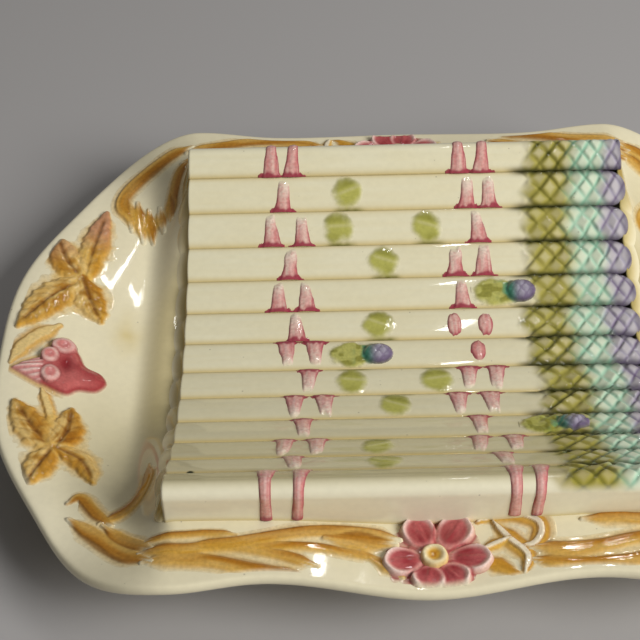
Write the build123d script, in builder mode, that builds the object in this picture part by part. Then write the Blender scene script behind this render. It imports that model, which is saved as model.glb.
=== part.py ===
from build123d import *

import os
from math import asin, cos, exp, hypot, sin

# Asparagus plate in glazed earthenware: a lobed platter that carries a hollow cradle, thirteen
# spears side by side in the cradle's trough, and moulded ribbons, flowers and leaves on the rim.
# The frame has its origin under the middle of the foot, +X along the spears towards their tips,
# +Y to the back and +Z up. All sizes are in millimetres.

# Platter: plan outline of one quarter of the rim, from the middle of a long side to an end
half_length = 183.0
half_width = 140.5
side_hollow = (70.0, 135.0)
corner_lobe = (104.0, 139.0)
corner_fall = (129.0, 130.0)
end_hollow = (157.0, 93.0)
end_lobe = (178.0, 50.0)

# Platter: heights above the table and the wall
foot_height = 8.0
wall = 6.5
lip_round = 2.6
rim_side_height = 42.5
rim_end_height = 31.5
flower_dip = 5.0
flower_dip_reach = 45.0
rim_fall_start = 100.0
rim_fall_end = 148.0

# Platter: where the inside leaves the rim and reaches the floor, as shares of the outline
strip_edge = 0.745
strip_foot = 0.53
well_edge = 0.60
floor_edge = 0.50
foot_outside = 0.48
foot_inside = 0.435
side_strip_end = 98.0
well_start = 124.0

# Cradle and spears
spear_count = 13
spear_pitch = 17.6
spear_length = 205.0
spear_crown = 1.7
trough_radius = 155.7
trough_height = 22.0
cradle_wall = 6.0
skirt_spread = 7.0
skirt_height = 2.0
vent_diameter = 2.4
vent_inset = 10.0
butt_round = 1.2

# Roll of the two outer spears over the crest; the cradle's own crest is cut back under it
roll_round = 5.0
crest_cut_back = 8.0
flank_thickness = 2.8

# Scaled tips
tip_shoulder = 24.0
tip_end_width = 6.0
tip_end_height = 0.8
scale_start = 50.0
scale_length = 12.0
scale_width = 10.8
scale_columns = 8
scale_gap = 1.3
scale_rise = 0.9
scale_side_clearance = 0.5

# Ties, bracts and buds on the stalks, each place given as a distance along the spear
strap_width = 5.0
strap_flare = 9.0
strap_flare_length = 12.0
strap_thickness = 0.9
strap_clearance = 0.4
strap_foot = 1.5
left_strap_places = [
    (-63.0, -53.0), (-57.5,), (-63.5, -49.0), (-54.5,), (-60.0, -47.5), (-52.0,), (-56.0, -43.5),
    (-46.5,), (-52.5, -39.5), (-48.5,), (-56.5, -43.0), (-52.0,), (-62.5, -49.0),
]
right_strap_places = [
    (25.5, 36.5), (29.0, 39.0), (33.0,), (22.0, 35.0), (24.0,), (19.5, 33.5), (29.0,),
    (23.5, 35.5), (18.0, 32.0), (25.5,), (23.5, 38.0), (32.0,), (33.5, 43.5),
]
last_lower_flare = 6
bract_length = 15.5
bract_width = 14.5
bract_thickness = 0.7
bract_places = [
    (2, -27.5), (3, -32.0), (3, 9.5), (4, -11.5), (6, -15.0), (8, -27.5), (8, 9.5), (9, -9.5),
    (11, -18.0), (12, -16.0),
]
bud_length = 14.0
bud_width = 8.0
bud_sink = 1.6
bud_places = [(5, 51.0), (7, -15.5), (10, 64.0)]

# Flowers on the long rims
petal_count = 6
petal_ring = 11.2
petal_length = 13.6
petal_width = 12.0
petal_height = 3.6
petal_slope = 12.0
petal_wall = 2.6
petal_hollow = 1.4
flower_place = (1.5, -122.5)
flower_turn = 30.0
boss_diameter = 11.0
boss_height = 4.6
boss_round = 2.2
boss_dimple = 3.6

# Bell flowers on the end rims
bell_place = (-176.0, -10.0, 33.5)
bell_turn = -4.0
bell_tilt = 16.0
bell_length = 25.0
bell_neck = 3.0
bell_waist = 4.6
bell_mouth = 10.0
bell_depth = 9.0
bell_wall = 1.8
bell_lip = [(-163.0, -8.5), (-147.0, -10.5), (-135.5, -13.0)]
bell_lip_width = 15.0

# Flat mouldings on the rim: each strand is a list of points in plan, from end to end
relief = 1.8
seat_clearance = 0.3
leaf_width = 12.0
hub_radius = 2.5
rear_spray_hub = (-151.0, 48.0)
rear_spray_tips = [(-143.5, 88.0), (-164.5, 70.0), (-174.5, 16.0), (-142.0, 27.0)]
front_spray_hub = (-152.5, -56.0)
front_spray_tips = [(-169.0, -32.0), (-149.0, -34.0), (-161.5, -75.0), (-136.0, -74.0)]
ribbon_width = 5.0
left_ribbon = [
    [(-112.0, -115.0), (-89.0, -115.0), (-73.0, -115.0), (-58.0, -115.5)],
    [(-74.0, -119.0), (-55.0, -115.5), (-44.5, -113.0), (-21.5, -112.5), (-12.0, -115.0)],
    [(-112.0, -120.5), (-84.0, -120.5), (-60.5, -125.5), (-42.5, -130.0)],
    [(-109.0, -126.5), (-82.0, -127.0), (-58.0, -132.5), (-45.0, -135.0)],
    [(-61.0, -121.5), (-43.0, -121.0), (-34.0, -123.5), (-15.0, -126.0)],
]
right_ribbon = [
    [(37.0, -125.0), (57.0, -123.0), (80.0, -119.5), (110.0, -117.0)],
    [(37.0, -130.0), (57.0, -129.5), (76.0, -127.0), (108.0, -123.5)],
    [(60.0, -110.5), (71.0, -110.5), (82.0, -110.0), (99.0, -112.0)],
]
bow_width = 3.0
bow_upper_loop = (31.0, -115.5)
bow_upper_radii = (11.5, 6.5)
bow_lower_loop = (27.0, -130.0)
bow_lower_radii = (6.5, 5.5)
bow_tail = [(24.0, -113.0), (33.0, -121.0), (37.0, -128.0), (35.5, -136.5)]
left_corner_ribbon = [
    [(-112.0, -123.0), (-124.0, -114.0), (-133.0, -104.0), (-142.0, -96.0)],
    [(-117.0, -109.0), (-129.0, -98.0), (-121.0, -92.0), (-115.0, -84.0), (-113.5, -76.0)],
    [(-126.0, -99.0), (-132.0, -93.0), (-139.0, -84.0), (-144.0, -88.0)],
]
right_corner_ribbon = [
    [(112.0, -124.5), (121.0, -120.0), (130.0, -111.0), (137.0, -98.0), (134.0, -88.0), (126.0, -84.0)],
    [(108.0, -117.5), (112.0, -112.0), (113.5, -100.0), (113.5, -86.0)],
    [(126.0, -84.0), (119.0, -91.0), (116.0, -99.0)],
]

outline_quarter = [
    (0.0, half_width), side_hollow, corner_lobe, corner_fall, end_hollow, end_lobe, (half_length, 0.0),
]
quarter_sections = 15
inside_shares = [0.60, 0.66, 0.71, 0.755, 0.80, 0.88, 0.955]
lip_share = 0.988

floor_height = foot_height + wall
cradle_base = foot_height + wall / 2.0
flank_base = rim_side_height - flower_dip - wall
end_x = spear_length / 2.0
half_pitch = spear_pitch / 2.0
tall = 2.0 * rim_side_height


def smooth_step(value):
    """Rise from 0 to 1 without a corner."""
    share = min(1.0, max(0.0, value))
    return share * share * (3.0 - 2.0 * share)


def rim_height(x):
    """Height of the rim's edge: high along the cradle, low at the ends, dipped at the flowers."""
    fall = smooth_step((rim_fall_end - abs(x)) / (rim_fall_end - rim_fall_start))
    dip = flower_dip * exp(-((x / flower_dip_reach) ** 2))
    return rim_end_height + (rim_side_height - rim_end_height) * fall - dip


def inside_height(x, share):
    """Height of the platter's upper face at a share of the way from its middle to its outline."""
    at_side = smooth_step((share - strip_foot) / (strip_edge - strip_foot))
    at_end = smooth_step((share - well_edge) / (1.0 - well_edge))
    beside = smooth_step((abs(x) - side_strip_end) / (well_start - side_strip_end))
    return floor_height + (rim_height(x) - floor_height) * (at_side * (1.0 - beside) + at_end * beside)


quarter_tangents = ((1, 0, 0), (0, -1, 0))
quarter_edge = Spline(*outline_quarter, tangents=quarter_tangents, mode=Mode.PRIVATE)
quarter = [quarter_edge @ (step / quarter_sections) for step in range(quarter_sections + 1)]
right_half = quarter + [Vector(point.X, -point.Y, 0.0) for point in reversed(quarter[1:-1])]
outline_points = right_half + [point * -1.0 for point in right_half]
section_shares = [floor_edge] + inside_shares + [lip_share]


def upper_points(point, lift):
    """Points of the platter's upper face on the ray to one point of the outline, from floor to lip."""
    points = []
    for share in section_shares:
        x = point.X * share
        points.append(Vector(x, point.Y * share, inside_height(x, share) + lift))
    return points


def shared_spline(points):
    """Curve through the points of one ray, with the shares as parameters, so that all sections match."""
    return Edge.make_spline(points, parameters=section_shares)


def wall_section(point):
    """Closed section of the platter's wall on one ray: upper face, round lip and underside."""
    upper = upper_points(point, 0.0)
    under = upper_points(point, -wall)
    under[-1].Z = upper[-1].Z - 2.0 * lip_round
    lip = Vector(point.X, point.Y, inside_height(point.X, 1.0) - lip_round)
    edges = [
        shared_spline(upper),
        Edge.make_spline([upper[-1], lip, under[-1]], parameters=[0.0, 0.5, 1.0]),
        shared_spline(under),
        Edge.make_line(under[0], upper[0]),
    ]
    return Wire(edges)


def skin_section(point):
    """Closed section of a skin on the upper face, as thick as the mouldings that stand on it."""
    lower = upper_points(point, seat_clearance)
    raised = upper_points(point, relief)
    edges = [
        shared_spline(raised),
        Edge.make_line(raised[-1], lower[-1]),
        shared_spline(lower),
        Edge.make_line(lower[0], raised[0]),
    ]
    return Wire(edges)


def closed_loft(sections):
    """Ring lofted through sections and back to the first of them."""
    return Solid.make_loft(sections + sections[:1])


def foot_face(share):
    """Plan of the foot's outside or inside: the outline drawn in to a share."""
    with BuildSketch(Plane.XY) as plan:
        with BuildLine():
            Spline(*[point * share for point in outline_points], periodic=True)
        make_face()
    return plan.sketch


platter_wall = closed_loft([wall_section(point) for point in reversed(outline_points)])
platter_skin = closed_loft([skin_section(point) for point in reversed(outline_points)])

# The floor closes the ring of wall above and below, in place of the ring's inner face
wall_faces = platter_wall.faces().sort_by(Face.area)
inner_edges = wall_faces[0].edges().filter_by(lambda edge: edge.is_closed)
floor_faces = [Face(Wire([edge])) for edge in inner_edges]

with BuildPart() as platter:
    add(Solid(Shell(wall_faces[1:] + floor_faces)))
    with BuildSketch(Plane.XY):
        add(foot_face(foot_outside))
        add(foot_face(foot_inside), mode=Mode.SUBTRACT)
    extrude(amount=foot_height)


def trough_point(step):
    """Point (Y, Z) on the trough's arc, a number of pitches from its lowest line towards the back."""
    angle = step * 2.0 * asin(half_pitch / trough_radius)
    return trough_radius * sin(angle), trough_height + trough_radius * (1.0 - cos(angle))


grooves = [trough_point(index - spear_count / 2.0) for index in range(spear_count + 1)]
crest_y, crest_z = grooves[-1]
crest_rise = (crest_z - grooves[-2][1]) / spear_pitch
crest_run = (crest_y - grooves[-2][0]) / spear_pitch
crest_cut = [
    (crest_y - crest_cut_back * crest_run, crest_z - crest_cut_back * crest_rise),
    (crest_y, crest_z - crest_cut_back),
]


def trough_section(inset):
    """Closed section of the cradle in Y and Z: base, walls, cut crests and the trough's facets."""
    side = crest_y - inset
    mirrored = [(-y, z) for y, z in reversed(crest_cut)]
    top = [(max(-side, min(side, y)), z - inset) for y, z in mirrored + grooves[1:-1] + crest_cut]
    return [(-side, cradle_base)] + top + [(side, cradle_base)]


def cradle_skirt(end):
    """Battered foot of an end wall, from the ends of the facets out to the floor."""
    upper = [(end * end_x, y, z) for y, z in trough_section(0.0)]
    outer = end * (end_x + skirt_spread)
    lower = [(outer, y, min(z, floor_height + skirt_height)) for y, z in trough_section(0.0)]
    return Solid.make_loft([Wire.make_polygon(upper), Wire.make_polygon(lower)], ruled=True)


with BuildPart() as cradle_block:
    with BuildSketch(Plane.YZ):
        with BuildLine():
            Polyline(*trough_section(0.0), close=True)
        make_face()
    extrude(amount=end_x, both=True)
    add(cradle_skirt(-1))
    add(cradle_skirt(1))
    with BuildSketch(Plane.YZ):
        with BuildLine():
            Polyline(*trough_section(cradle_wall), close=True)
        make_face()
    extrude(amount=end_x - cradle_wall, both=True, mode=Mode.SUBTRACT)
    add(platter.part, mode=Mode.SUBTRACT)

with BuildPart() as cradle:
    add(cradle_block.part.solids().sort_by(SortBy.VOLUME)[-1])
    vent_y, vent_z = grooves[1]
    with Locations((vent_inset - end_x, vent_y, vent_z)):
        Hole(vent_diameter / 2.0, depth=2.0 * cradle_wall)


def spear_plane(number):
    """Plane on the facet that carries a spear: x along the spear, z out of the trough."""
    lower = grooves[spear_count - number]
    upper = grooves[spear_count - number + 1]
    middle = ((lower[0] + upper[0]) / 2.0, (lower[1] + upper[1]) / 2.0)
    run = (upper[0] - lower[0], upper[1] - lower[1])
    return Plane((0.0, middle[0], middle[1]), x_dir=(1, 0, 0), z_dir=(0, -run[1], run[0]))


def stalk(grow):
    """One inner spear without its tip, in its own frame: a crowned bar, raised by an amount."""
    with BuildPart() as bar:
        with BuildSketch(Plane.YZ):
            with BuildLine():
                crown = ThreePointArc((-half_pitch, grow), (0.0, spear_crown + grow), (half_pitch, grow))
                Polyline(crown @ 1, (half_pitch, -spear_pitch), (-half_pitch, -spear_pitch), crown @ 0)
            make_face()
            Rectangle(spear_pitch, tall, align=(Align.CENTER, Align.MIN), mode=Mode.INTERSECT)
        extrude(amount=end_x, both=True)
    return bar.part


def tip_plan(clearance):
    """Plan of an inner spear with its rounded tip, as a tall block."""
    half = half_pitch - clearance
    shoulder_x = end_x - tip_shoulder
    with BuildPart() as plan:
        with BuildSketch(Plane.XY):
            with BuildLine():
                right = Spline((shoulder_x, half), (end_x, tip_end_width / 2.0), tangents=((1, 0), (1, -1)))
                tip_edge = (end_x, -tip_end_width / 2.0)
                left = Spline(tip_edge, (shoulder_x, -half), tangents=((-1, -1), (-1, 0)))
                Line(right @ 1, left @ 0)
                Polyline(left @ 1, (-end_x, -half), (-end_x, half), right @ 0)
            make_face()
        extrude(amount=2.0 * spear_pitch)
    return plan.part


def tip_fall(rise):
    """Side outline of an inner spear, level to the shoulder and then falling to the tip."""
    shoulder_x = end_x - tip_shoulder
    top = spear_crown + rise
    with BuildPart() as fall:
        with BuildSketch(Plane.XZ):
            with BuildLine():
                slope = Spline((shoulder_x, top), (end_x, tip_end_height), tangents=((1, 0), (1, -0.5)))
                Polyline(slope @ 1, (end_x, 0.0), (-end_x, 0.0), (-end_x, top), slope @ 0)
            make_face()
        extrude(amount=spear_pitch, both=True)
    return fall.part


def scale_blocks():
    """Tall lozenge blocks in a staggered lattice over the scaled end of a spear."""
    with BuildPart() as blocks:
        with BuildSketch(Plane.XY):
            for column in range(scale_columns):
                x = scale_start + (column + 1) * scale_length / 2.0
                even_rows = (-scale_width, 0.0, scale_width)
                odd_rows = (-scale_width / 2.0, scale_width / 2.0)
                rows = odd_rows if column % 2 else even_rows
                long_half = (scale_length - scale_gap) / 2.0
                wide_half = (scale_width - scale_gap) / 2.0
                with Locations(*[(x, y) for y in rows]):
                    Polygon((-long_half, 0), (0, -wide_half), (long_half, 0), (0, wide_half), align=None)
        extrude(amount=spear_pitch)
    return blocks.part


def scaled_tip(body):
    """Raised scales that follow a grown body."""
    with BuildPart() as scales:
        add(scale_blocks())
        add(tip_plan(scale_side_clearance), mode=Mode.INTERSECT)
        add(body, mode=Mode.INTERSECT)
    return scales.part


with BuildPart() as inner_spear:
    add(stalk(0.0))
    fillet(inner_spear.edges().filter_by(GeomType.CIRCLE).sort_by(Axis.X)[0], butt_round)
    add(tip_plan(0.0), mode=Mode.INTERSECT)
    add(tip_fall(0.0), mode=Mode.INTERSECT)
    add(scaled_tip(stalk(scale_rise) & tip_fall(scale_rise)))


def roll_section(side, grow, base):
    """Section of an outer spear in Y and Z: up its face, round the crest and down the outside to a base."""
    groove_y, groove_z = grooves[-2]
    flank_y = crest_y + flank_thickness + grow
    corner_z = crest_z + (flank_y - crest_y) * crest_rise / crest_run + grow
    crown = ((groove_y + flank_y) / 2.0, (groove_z + corner_z) / 2.0 + spear_crown)
    under = [(side * y, z) for y, z in reversed(crest_cut)]
    with BuildSketch(Plane.YZ) as section:
        with BuildLine():
            corner = (side * flank_y, corner_z)
            face = ThreePointArc((side * groove_y, groove_z), (side * crown[0], crown[1]), corner)
            Polyline(corner, (side * flank_y, base), (side * crest_y, base), *under, face @ 0)
        make_face()
        fillet(section.vertices().sort_by_distance(corner)[0], roll_round + grow)
    return section.sketch


def front_spear():
    """Spear on the front crest of the trough, standing on the rim, with its scales on the inner face."""
    with BuildPart() as spear:
        extrude(roll_section(-1, 0.0, flank_base), amount=end_x, both=True)
        add(platter.part, mode=Mode.SUBTRACT)
    with BuildPart() as grown:
        grown_section = roll_section(-1, scale_rise, crest_z - 2.0 * crest_cut_back)
        extrude(grown_section, amount=end_x - butt_round, both=True)
    with BuildPart() as scales:
        add(spear_plane(spear_count).location * (scale_blocks() & tip_plan(scale_side_clearance)))
        add(grown.part, mode=Mode.INTERSECT)
    return (spear.part + scales.part).solids().sort_by(SortBy.VOLUME)[-1]


spears = {spear_count: front_spear()}
spears[1] = mirror(spears[spear_count], about=Plane.XZ)
for number in range(2, spear_count):
    spears[number] = spear_plane(number).location * inner_spear.part


def strap(flare_side):
    """Strap over one inner spear, in the spear's frame, with a flared end in one groove."""
    reach = half_pitch - strap_clearance
    narrow = strap_width / 2.0
    flare = strap_flare / 2.0
    with BuildPart() as band:
        with BuildSketch(Plane.XY):
            with BuildLine():
                Polyline(
                    (-flare, flare_side * reach),
                    (-narrow, flare_side * (reach - strap_flare_length)),
                    (-narrow, -flare_side * reach),
                    (narrow, -flare_side * reach),
                    (narrow, flare_side * (reach - strap_flare_length)),
                    (flare, flare_side * reach),
                    close=True,
                )
            make_face()
        extrude(amount=spear_pitch)
        add(stalk(strap_thickness), mode=Mode.INTERSECT)
        add(stalk(0.0), mode=Mode.SUBTRACT)
    return band.part


def outer_strap(side):
    """Strap over an outer spear, from its groove round the roll and down to the rim."""
    with BuildPart() as band:
        strap_base = rim_side_height + strap_foot
        strip = roll_section(side, strap_thickness, strap_base) - roll_section(side, 0.0, strap_base)
        extrude(strip, amount=strap_width / 2.0, both=True)
    return band.part


straps = {-1: strap(-1), 1: strap(1)}
outer_straps = {1: outer_strap(1), spear_count: outer_strap(-1)}


def tie(places):
    """All straps of one tie, spear by spear."""
    bands = []
    for number, along in enumerate(places, start=1):
        for x in along:
            if number in outer_straps:
                bands += (Pos(x, 0, 0) * outer_straps[number]).solids()
            else:
                flare_side = -1 if number <= last_lower_flare else 1
                bands += (spear_plane(number).location * Pos(x, 0, 0) * straps[flare_side]).solids()
    return Compound(children=bands)


def bract():
    """Leaf scale on an inner spear, in the spear's frame."""
    with BuildPart() as leaf:
        with BuildSketch(Plane.XY):
            with BuildLine():
                half_long = bract_length / 2.0
                upper = ThreePointArc((-half_long, 0), (0, bract_width / 2.0), (half_long, 0))
                ThreePointArc(upper @ 1, (0, -bract_width / 2.0), upper @ 0)
            make_face()
        extrude(amount=spear_pitch)
        add(stalk(bract_thickness), mode=Mode.INTERSECT)
        add(stalk(0.0), mode=Mode.SUBTRACT)
    return leaf.part


bract_solid = bract()
bracts = []
for number, x in bract_places:
    bracts += (spear_plane(number).location * Pos(x, 0, 0) * bract_solid).solids()


def side_bud(x):
    """Spindle-shaped bud, half sunk in an inner spear, in the spear's frame."""
    with BuildPart() as bud:
        with BuildSketch(Plane.XZ):
            with BuildLine():
                outline = ThreePointArc((-bud_length / 2.0, 0), (0, bud_width / 2.0), (bud_length / 2.0, 0))
                Line(outline @ 1, outline @ 0)
            make_face()
        revolve(axis=Axis.X)
    standing = Pos(x, 0, spear_crown - bud_sink) * bud.part - inner_spear.part
    return standing.solids().sort_by(Axis.Z)[-1]


def half_turn(shape):
    """The same piece on the opposite side of the plate."""
    return Rot(0, 0, 180) * shape


def moulding(faces):
    """Flat moulding on the platter: plan shapes raised from its upper face by the relief."""
    with BuildPart() as raised:
        with BuildSketch(Plane.XY):
            for face in faces:
                add(face)
        extrude(amount=tall)
        add(platter_skin, mode=Mode.INTERSECT)
    return raised.part


def band_face(points, width):
    """Plan of a band along points, full in its middle and pointed at both ends."""
    left = [points[0]]
    right = [points[0]]
    for before, here, after in zip(points, points[1:], points[2:]):
        along = (after[0] - before[0], after[1] - before[1])
        scale = width / 2.0 / hypot(*along)
        left.append((here[0] - along[1] * scale, here[1] + along[0] * scale))
        right.append((here[0] + along[1] * scale, here[1] - along[0] * scale))
    with BuildSketch(Plane.XY) as face:
        with BuildLine():
            Spline(*left, points[-1])
            Spline(*right, points[-1])
        make_face()
    return face.sketch


def leaf_spray(hub, tips):
    """Leaves that spread from one hub."""
    with BuildSketch(Plane.XY) as knot:
        with Locations(hub):
            Circle(hub_radius)
    leaves = [knot.sketch]
    for tip in tips:
        middle = ((hub[0] + tip[0]) / 2.0, (hub[1] + tip[1]) / 2.0)
        leaves.append(band_face([hub, middle, tip], leaf_width))
    return moulding(leaves)


def ribbon(strands):
    """Ribbon strands on the rim."""
    return moulding([band_face(points, ribbon_width) for points in strands])


def bow_loop(place, radii):
    """Plan of one ribbon loop: an oval ring."""
    with BuildSketch(Plane.XY) as loop:
        with Locations(place):
            Ellipse(*radii)
            Ellipse(radii[0] - bow_width, radii[1] - bow_width, mode=Mode.SUBTRACT)
    return loop.sketch


flower_base = rim_height(0.0) - petal_hollow
with BuildPart() as flower:
    with BuildSketch(Plane.XY.offset(flower_base)):
        with Locations(flower_place):
            with PolarLocations(petal_ring, petal_count, start_angle=flower_turn):
                Ellipse(petal_length / 2.0, petal_width / 2.0)
            Circle(petal_ring)
    extrude(amount=petal_height + petal_hollow, taper=petal_slope)
    with BuildSketch(Plane.XY.offset(rim_height(0.0) + petal_height)):
        with Locations(flower_place):
            with PolarLocations(petal_ring, petal_count, start_angle=flower_turn):
                Ellipse(petal_length / 2.0 - petal_wall, petal_width / 2.0 - petal_wall)
    extrude(amount=-petal_hollow, mode=Mode.SUBTRACT)
    add(platter.part, mode=Mode.SUBTRACT)
    add(spears[spear_count], mode=Mode.SUBTRACT)

with BuildPart() as flower_centre:
    with Locations((flower_place[0], flower_place[1], flower_base)):
        boss_tall = boss_height + petal_hollow
        Cylinder(boss_diameter / 2.0, boss_tall, align=(Align.CENTER, Align.CENTER, Align.MIN))
    fillet(flower_centre.edges().group_by(Axis.Z)[-1], boss_round)
    with Locations((flower_place[0], flower_place[1], rim_height(0.0) + boss_height)):
        Hole(boss_dimple / 2.0, depth=petal_hollow)
    add(platter.part, mode=Mode.SUBTRACT)
flower_petals = (flower.part - flower_centre.part).solids().sort_by(SortBy.VOLUME)[-1]
flower_ring = Pos(0, 0, seat_clearance) * flower_petals
flower_boss = Pos(0, 0, seat_clearance) * flower_centre.part

with BuildPart() as bell_body:
    with BuildSketch(Plane.XZ):
        with BuildLine():
            outline = Spline((0, bell_neck), (bell_length / 2.0, bell_waist), (bell_length, bell_mouth))
            Polyline(outline @ 1, (bell_length, 0), (0, 0), outline @ 0)
        make_face()
    revolve(axis=Axis.X)
    with BuildSketch(Plane.XZ):
        with BuildLine():
            throat = (bell_length - bell_depth, 0)
            Polyline(throat, (bell_length, bell_mouth - bell_wall), (bell_length, 0), close=True)
        make_face()
    revolve(axis=Axis.X, mode=Mode.SUBTRACT)

with BuildPart() as bell_flower:
    standing = Pos(*bell_place) * Rot(0, bell_tilt, bell_turn) * bell_body.part - platter.part
    add(standing.solids().sort_by(SortBy.VOLUME)[-1])
    add(moulding([band_face(bell_lip, bell_lip_width)]))

left_rear_spray = leaf_spray(rear_spray_hub, rear_spray_tips)
left_front_spray = leaf_spray(front_spray_hub, front_spray_tips)
bow_faces = [
    bow_loop(bow_upper_loop, bow_upper_radii),
    bow_loop(bow_lower_loop, bow_lower_radii),
    band_face(bow_tail, bow_width),
]
front_bow = moulding(bow_faces) - flower_ring
front_left = ribbon(left_ribbon) - flower_ring
front_right = ribbon(right_ribbon) - front_bow
front_left_corner = ribbon(left_corner_ribbon) - front_left
front_right_corner = ribbon(right_corner_ribbon) - front_right

pieces = {
    "platter": platter.part,
    "cradle": cradle.part,
    "left_tie": tie(left_strap_places),
    "right_tie": tie(right_strap_places),
    "stalk_bracts": Compound(children=bracts),
    "front_flower": flower_ring,
    "back_flower": half_turn(flower_ring),
    "front_flower_centre": flower_boss,
    "back_flower_centre": half_turn(flower_boss),
    "left_bell_flower": bell_flower.part,
    "right_bell_flower": half_turn(bell_flower.part),
    "left_rear_leaf_spray": left_rear_spray,
    "right_front_leaf_spray": half_turn(left_rear_spray),
    "left_front_leaf_spray": left_front_spray,
    "right_rear_leaf_spray": half_turn(left_front_spray),
    "front_bow": front_bow,
    "back_bow": half_turn(front_bow),
    "front_left_ribbon": front_left,
    "back_right_ribbon": half_turn(front_left),
    "front_right_ribbon": front_right,
    "back_left_ribbon": half_turn(front_right),
    "front_left_corner_ribbon": front_left_corner,
    "back_right_corner_ribbon": half_turn(front_left_corner),
    "front_right_corner_ribbon": front_right_corner,
    "back_left_corner_ribbon": half_turn(front_right_corner),
}
for number, solid in spears.items():
    pieces[f"spear_{number:02d}"] = solid
for number, x in bud_places:
    pieces[f"side_bud_{number:02d}"] = spear_plane(number).location * side_bud(x)

os.makedirs("parts", exist_ok=True)
for name, piece in pieces.items():
    piece.label = name
    export_step(piece, f"parts/{name}.step")
    print(name, len(piece.solids()), round(piece.volume))
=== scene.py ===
import logging
import math
from dataclasses import dataclass, field
from enum import Enum
from typing import Callable, Sequence

import bmesh
import bpy
import numpy as np
from mathutils import Matrix, Vector


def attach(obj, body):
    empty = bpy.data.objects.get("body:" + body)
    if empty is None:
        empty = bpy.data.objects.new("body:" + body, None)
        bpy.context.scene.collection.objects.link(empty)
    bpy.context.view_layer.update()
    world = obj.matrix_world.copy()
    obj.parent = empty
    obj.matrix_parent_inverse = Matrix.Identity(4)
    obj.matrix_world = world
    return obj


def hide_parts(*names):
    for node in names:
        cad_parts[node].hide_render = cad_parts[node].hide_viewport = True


# Asparagus plate in glazed earthenware. Meshes are worked out in millimetres in the plate's own frame
# (origin under the foot, +X towards the spear tips, +Z up) and stored in metres. Colour lies on the
# meshes as a painted attribute, as under-glaze colour lies on the clay, and the glaze is the shader.

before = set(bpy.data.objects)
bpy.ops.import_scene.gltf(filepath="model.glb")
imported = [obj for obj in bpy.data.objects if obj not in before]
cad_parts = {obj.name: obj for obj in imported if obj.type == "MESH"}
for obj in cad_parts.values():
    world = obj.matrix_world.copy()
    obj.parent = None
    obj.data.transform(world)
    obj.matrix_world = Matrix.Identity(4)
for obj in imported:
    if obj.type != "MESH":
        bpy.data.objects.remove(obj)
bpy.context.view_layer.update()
LOG = logging.getLogger("asparagus_plate")
METRE = 0.001
PAINT = "paint"

Array = np.ndarray
Point = tuple[float, float]
# Gives the height in mm over a bare face and the colour, from two coordinates in mm and the bare colour.
Shape = Callable[[Array, Array, Array], tuple[Array, Array]]


class Tone(Enum):
    """Colours of the clay, the glaze pools, the under-glaze paints, painted shade and the studio, as sRGB hex.
    """

    CREAM = "e9dfbd"
    CREAM_LIGHT = "f1e9cf"
    SPEAR = "e6dfbf"
    POOL = "c6a956"
    POOL_DEEP = "94823f"
    DARK_PAINT_AND_SHADE = "2e3014"
    SHADE = "9a8a4a"
    STAIN_AND_SHADE = "d8c58c"
    PINK = "d58e88"
    PINK_PALE = "efd9cb"
    CRIMSON = "8c2a2e"
    RASPBERRY = "a63c42"
    CARMINE = "a03c3c"
    ROSE = "cb716b"
    OCHRE = "c8942f"
    AMBER = "ad7018"
    BROWN = "7a4a16"
    TAN = "dbb25a"
    MAUVE_TAN = "c08a68"
    BRACT = "b2af52"
    BRACT_DEEP = "7d7a28"
    SCALE_OCHRE = "a1962f"
    SCALE_OLIVE = "64611a"
    TURQUOISE = "b0d0b4"
    TEAL = "3f8f70"
    LAVENDER = "aca6b2"
    PURPLE = "6a5a76"
    PURPLE_DEEP = "463a52"
    MADDER = "9c3a48"
    LEAF_LIGHT = "e6c987"
    SPECK = "7c7361"
    PAPER = "aaa7a5"
    DAYLIGHT = "fffdfa"


def linear(tone: Tone) -> Array:
    """Turn a tone to linear light.

    Args:
        tone: the tone, as sRGB hex.

    Returns:
        Its linear red, green and blue.
    """
    code = tone.value
    srgb = np.array([int(code[i:i + 2], 16) / 255.0 for i in (0, 2, 4)])
    return np.where(srgb <= 0.04045, srgb / 12.92, ((srgb + 0.055) / 1.055) ** 2.4)


def blend(base: Array, tone: Tone, share: Array) -> Array:
    """Lay a tone over colours.

    Args:
        base: colours, one row per vertex.
        tone: the tone laid over them.
        share: how much of it shows at each vertex, 0 to 1.

    Returns:
        The new colours.
    """
    weight = np.clip(share, 0.0, 1.0)[:, None]
    return base * (1.0 - weight) + linear(tone) * weight


def coat(tone: Tone, count: int) -> Array:
    """Colours of one tone, a row for each of a count of vertices."""
    return np.tile(linear(tone), (count, 1))


def smooth(value: Array) -> Array:
    """Rise from 0 to 1 without a corner."""
    share = np.clip(value, 0.0, 1.0)
    return share * share * (3.0 - 2.0 * share)


def hump(value: Array) -> Array:
    """Rise to 1 where the value is 0, and die away on both sides of it."""
    return np.exp(-(value**2))


def grain(x: Array, y: Array, size: float, seed: int = 0) -> Array:
    """Smooth noise in the plane.

    Args:
        x: first coordinate in mm.
        y: second coordinate in mm.
        size: size of its features in mm.
        seed: picks one of many fields.

    Returns:
        Values between -1 and 1.
    """
    gx = np.asarray(x) / size + 31.7 * seed
    gy = np.asarray(y) / size - 17.3 * seed
    ix, iy = np.floor(gx), np.floor(gy)
    fx, fy = smooth(gx - ix), smooth(gy - iy)

    def corner(i: Array, j: Array) -> Array:
        """Value at one lattice point."""
        wave = np.sin(i * 127.1 + j * 311.7 + seed * 74.7) * 43758.5453
        return 2.0 * (wave - np.floor(wave)) - 1.0

    low = corner(ix, iy) * (1.0 - fx) + corner(ix + 1, iy) * fx
    high = corner(ix, iy + 1) * (1.0 - fx) + corner(ix + 1, iy + 1) * fx
    return low * (1.0 - fy) + high * fy


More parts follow.
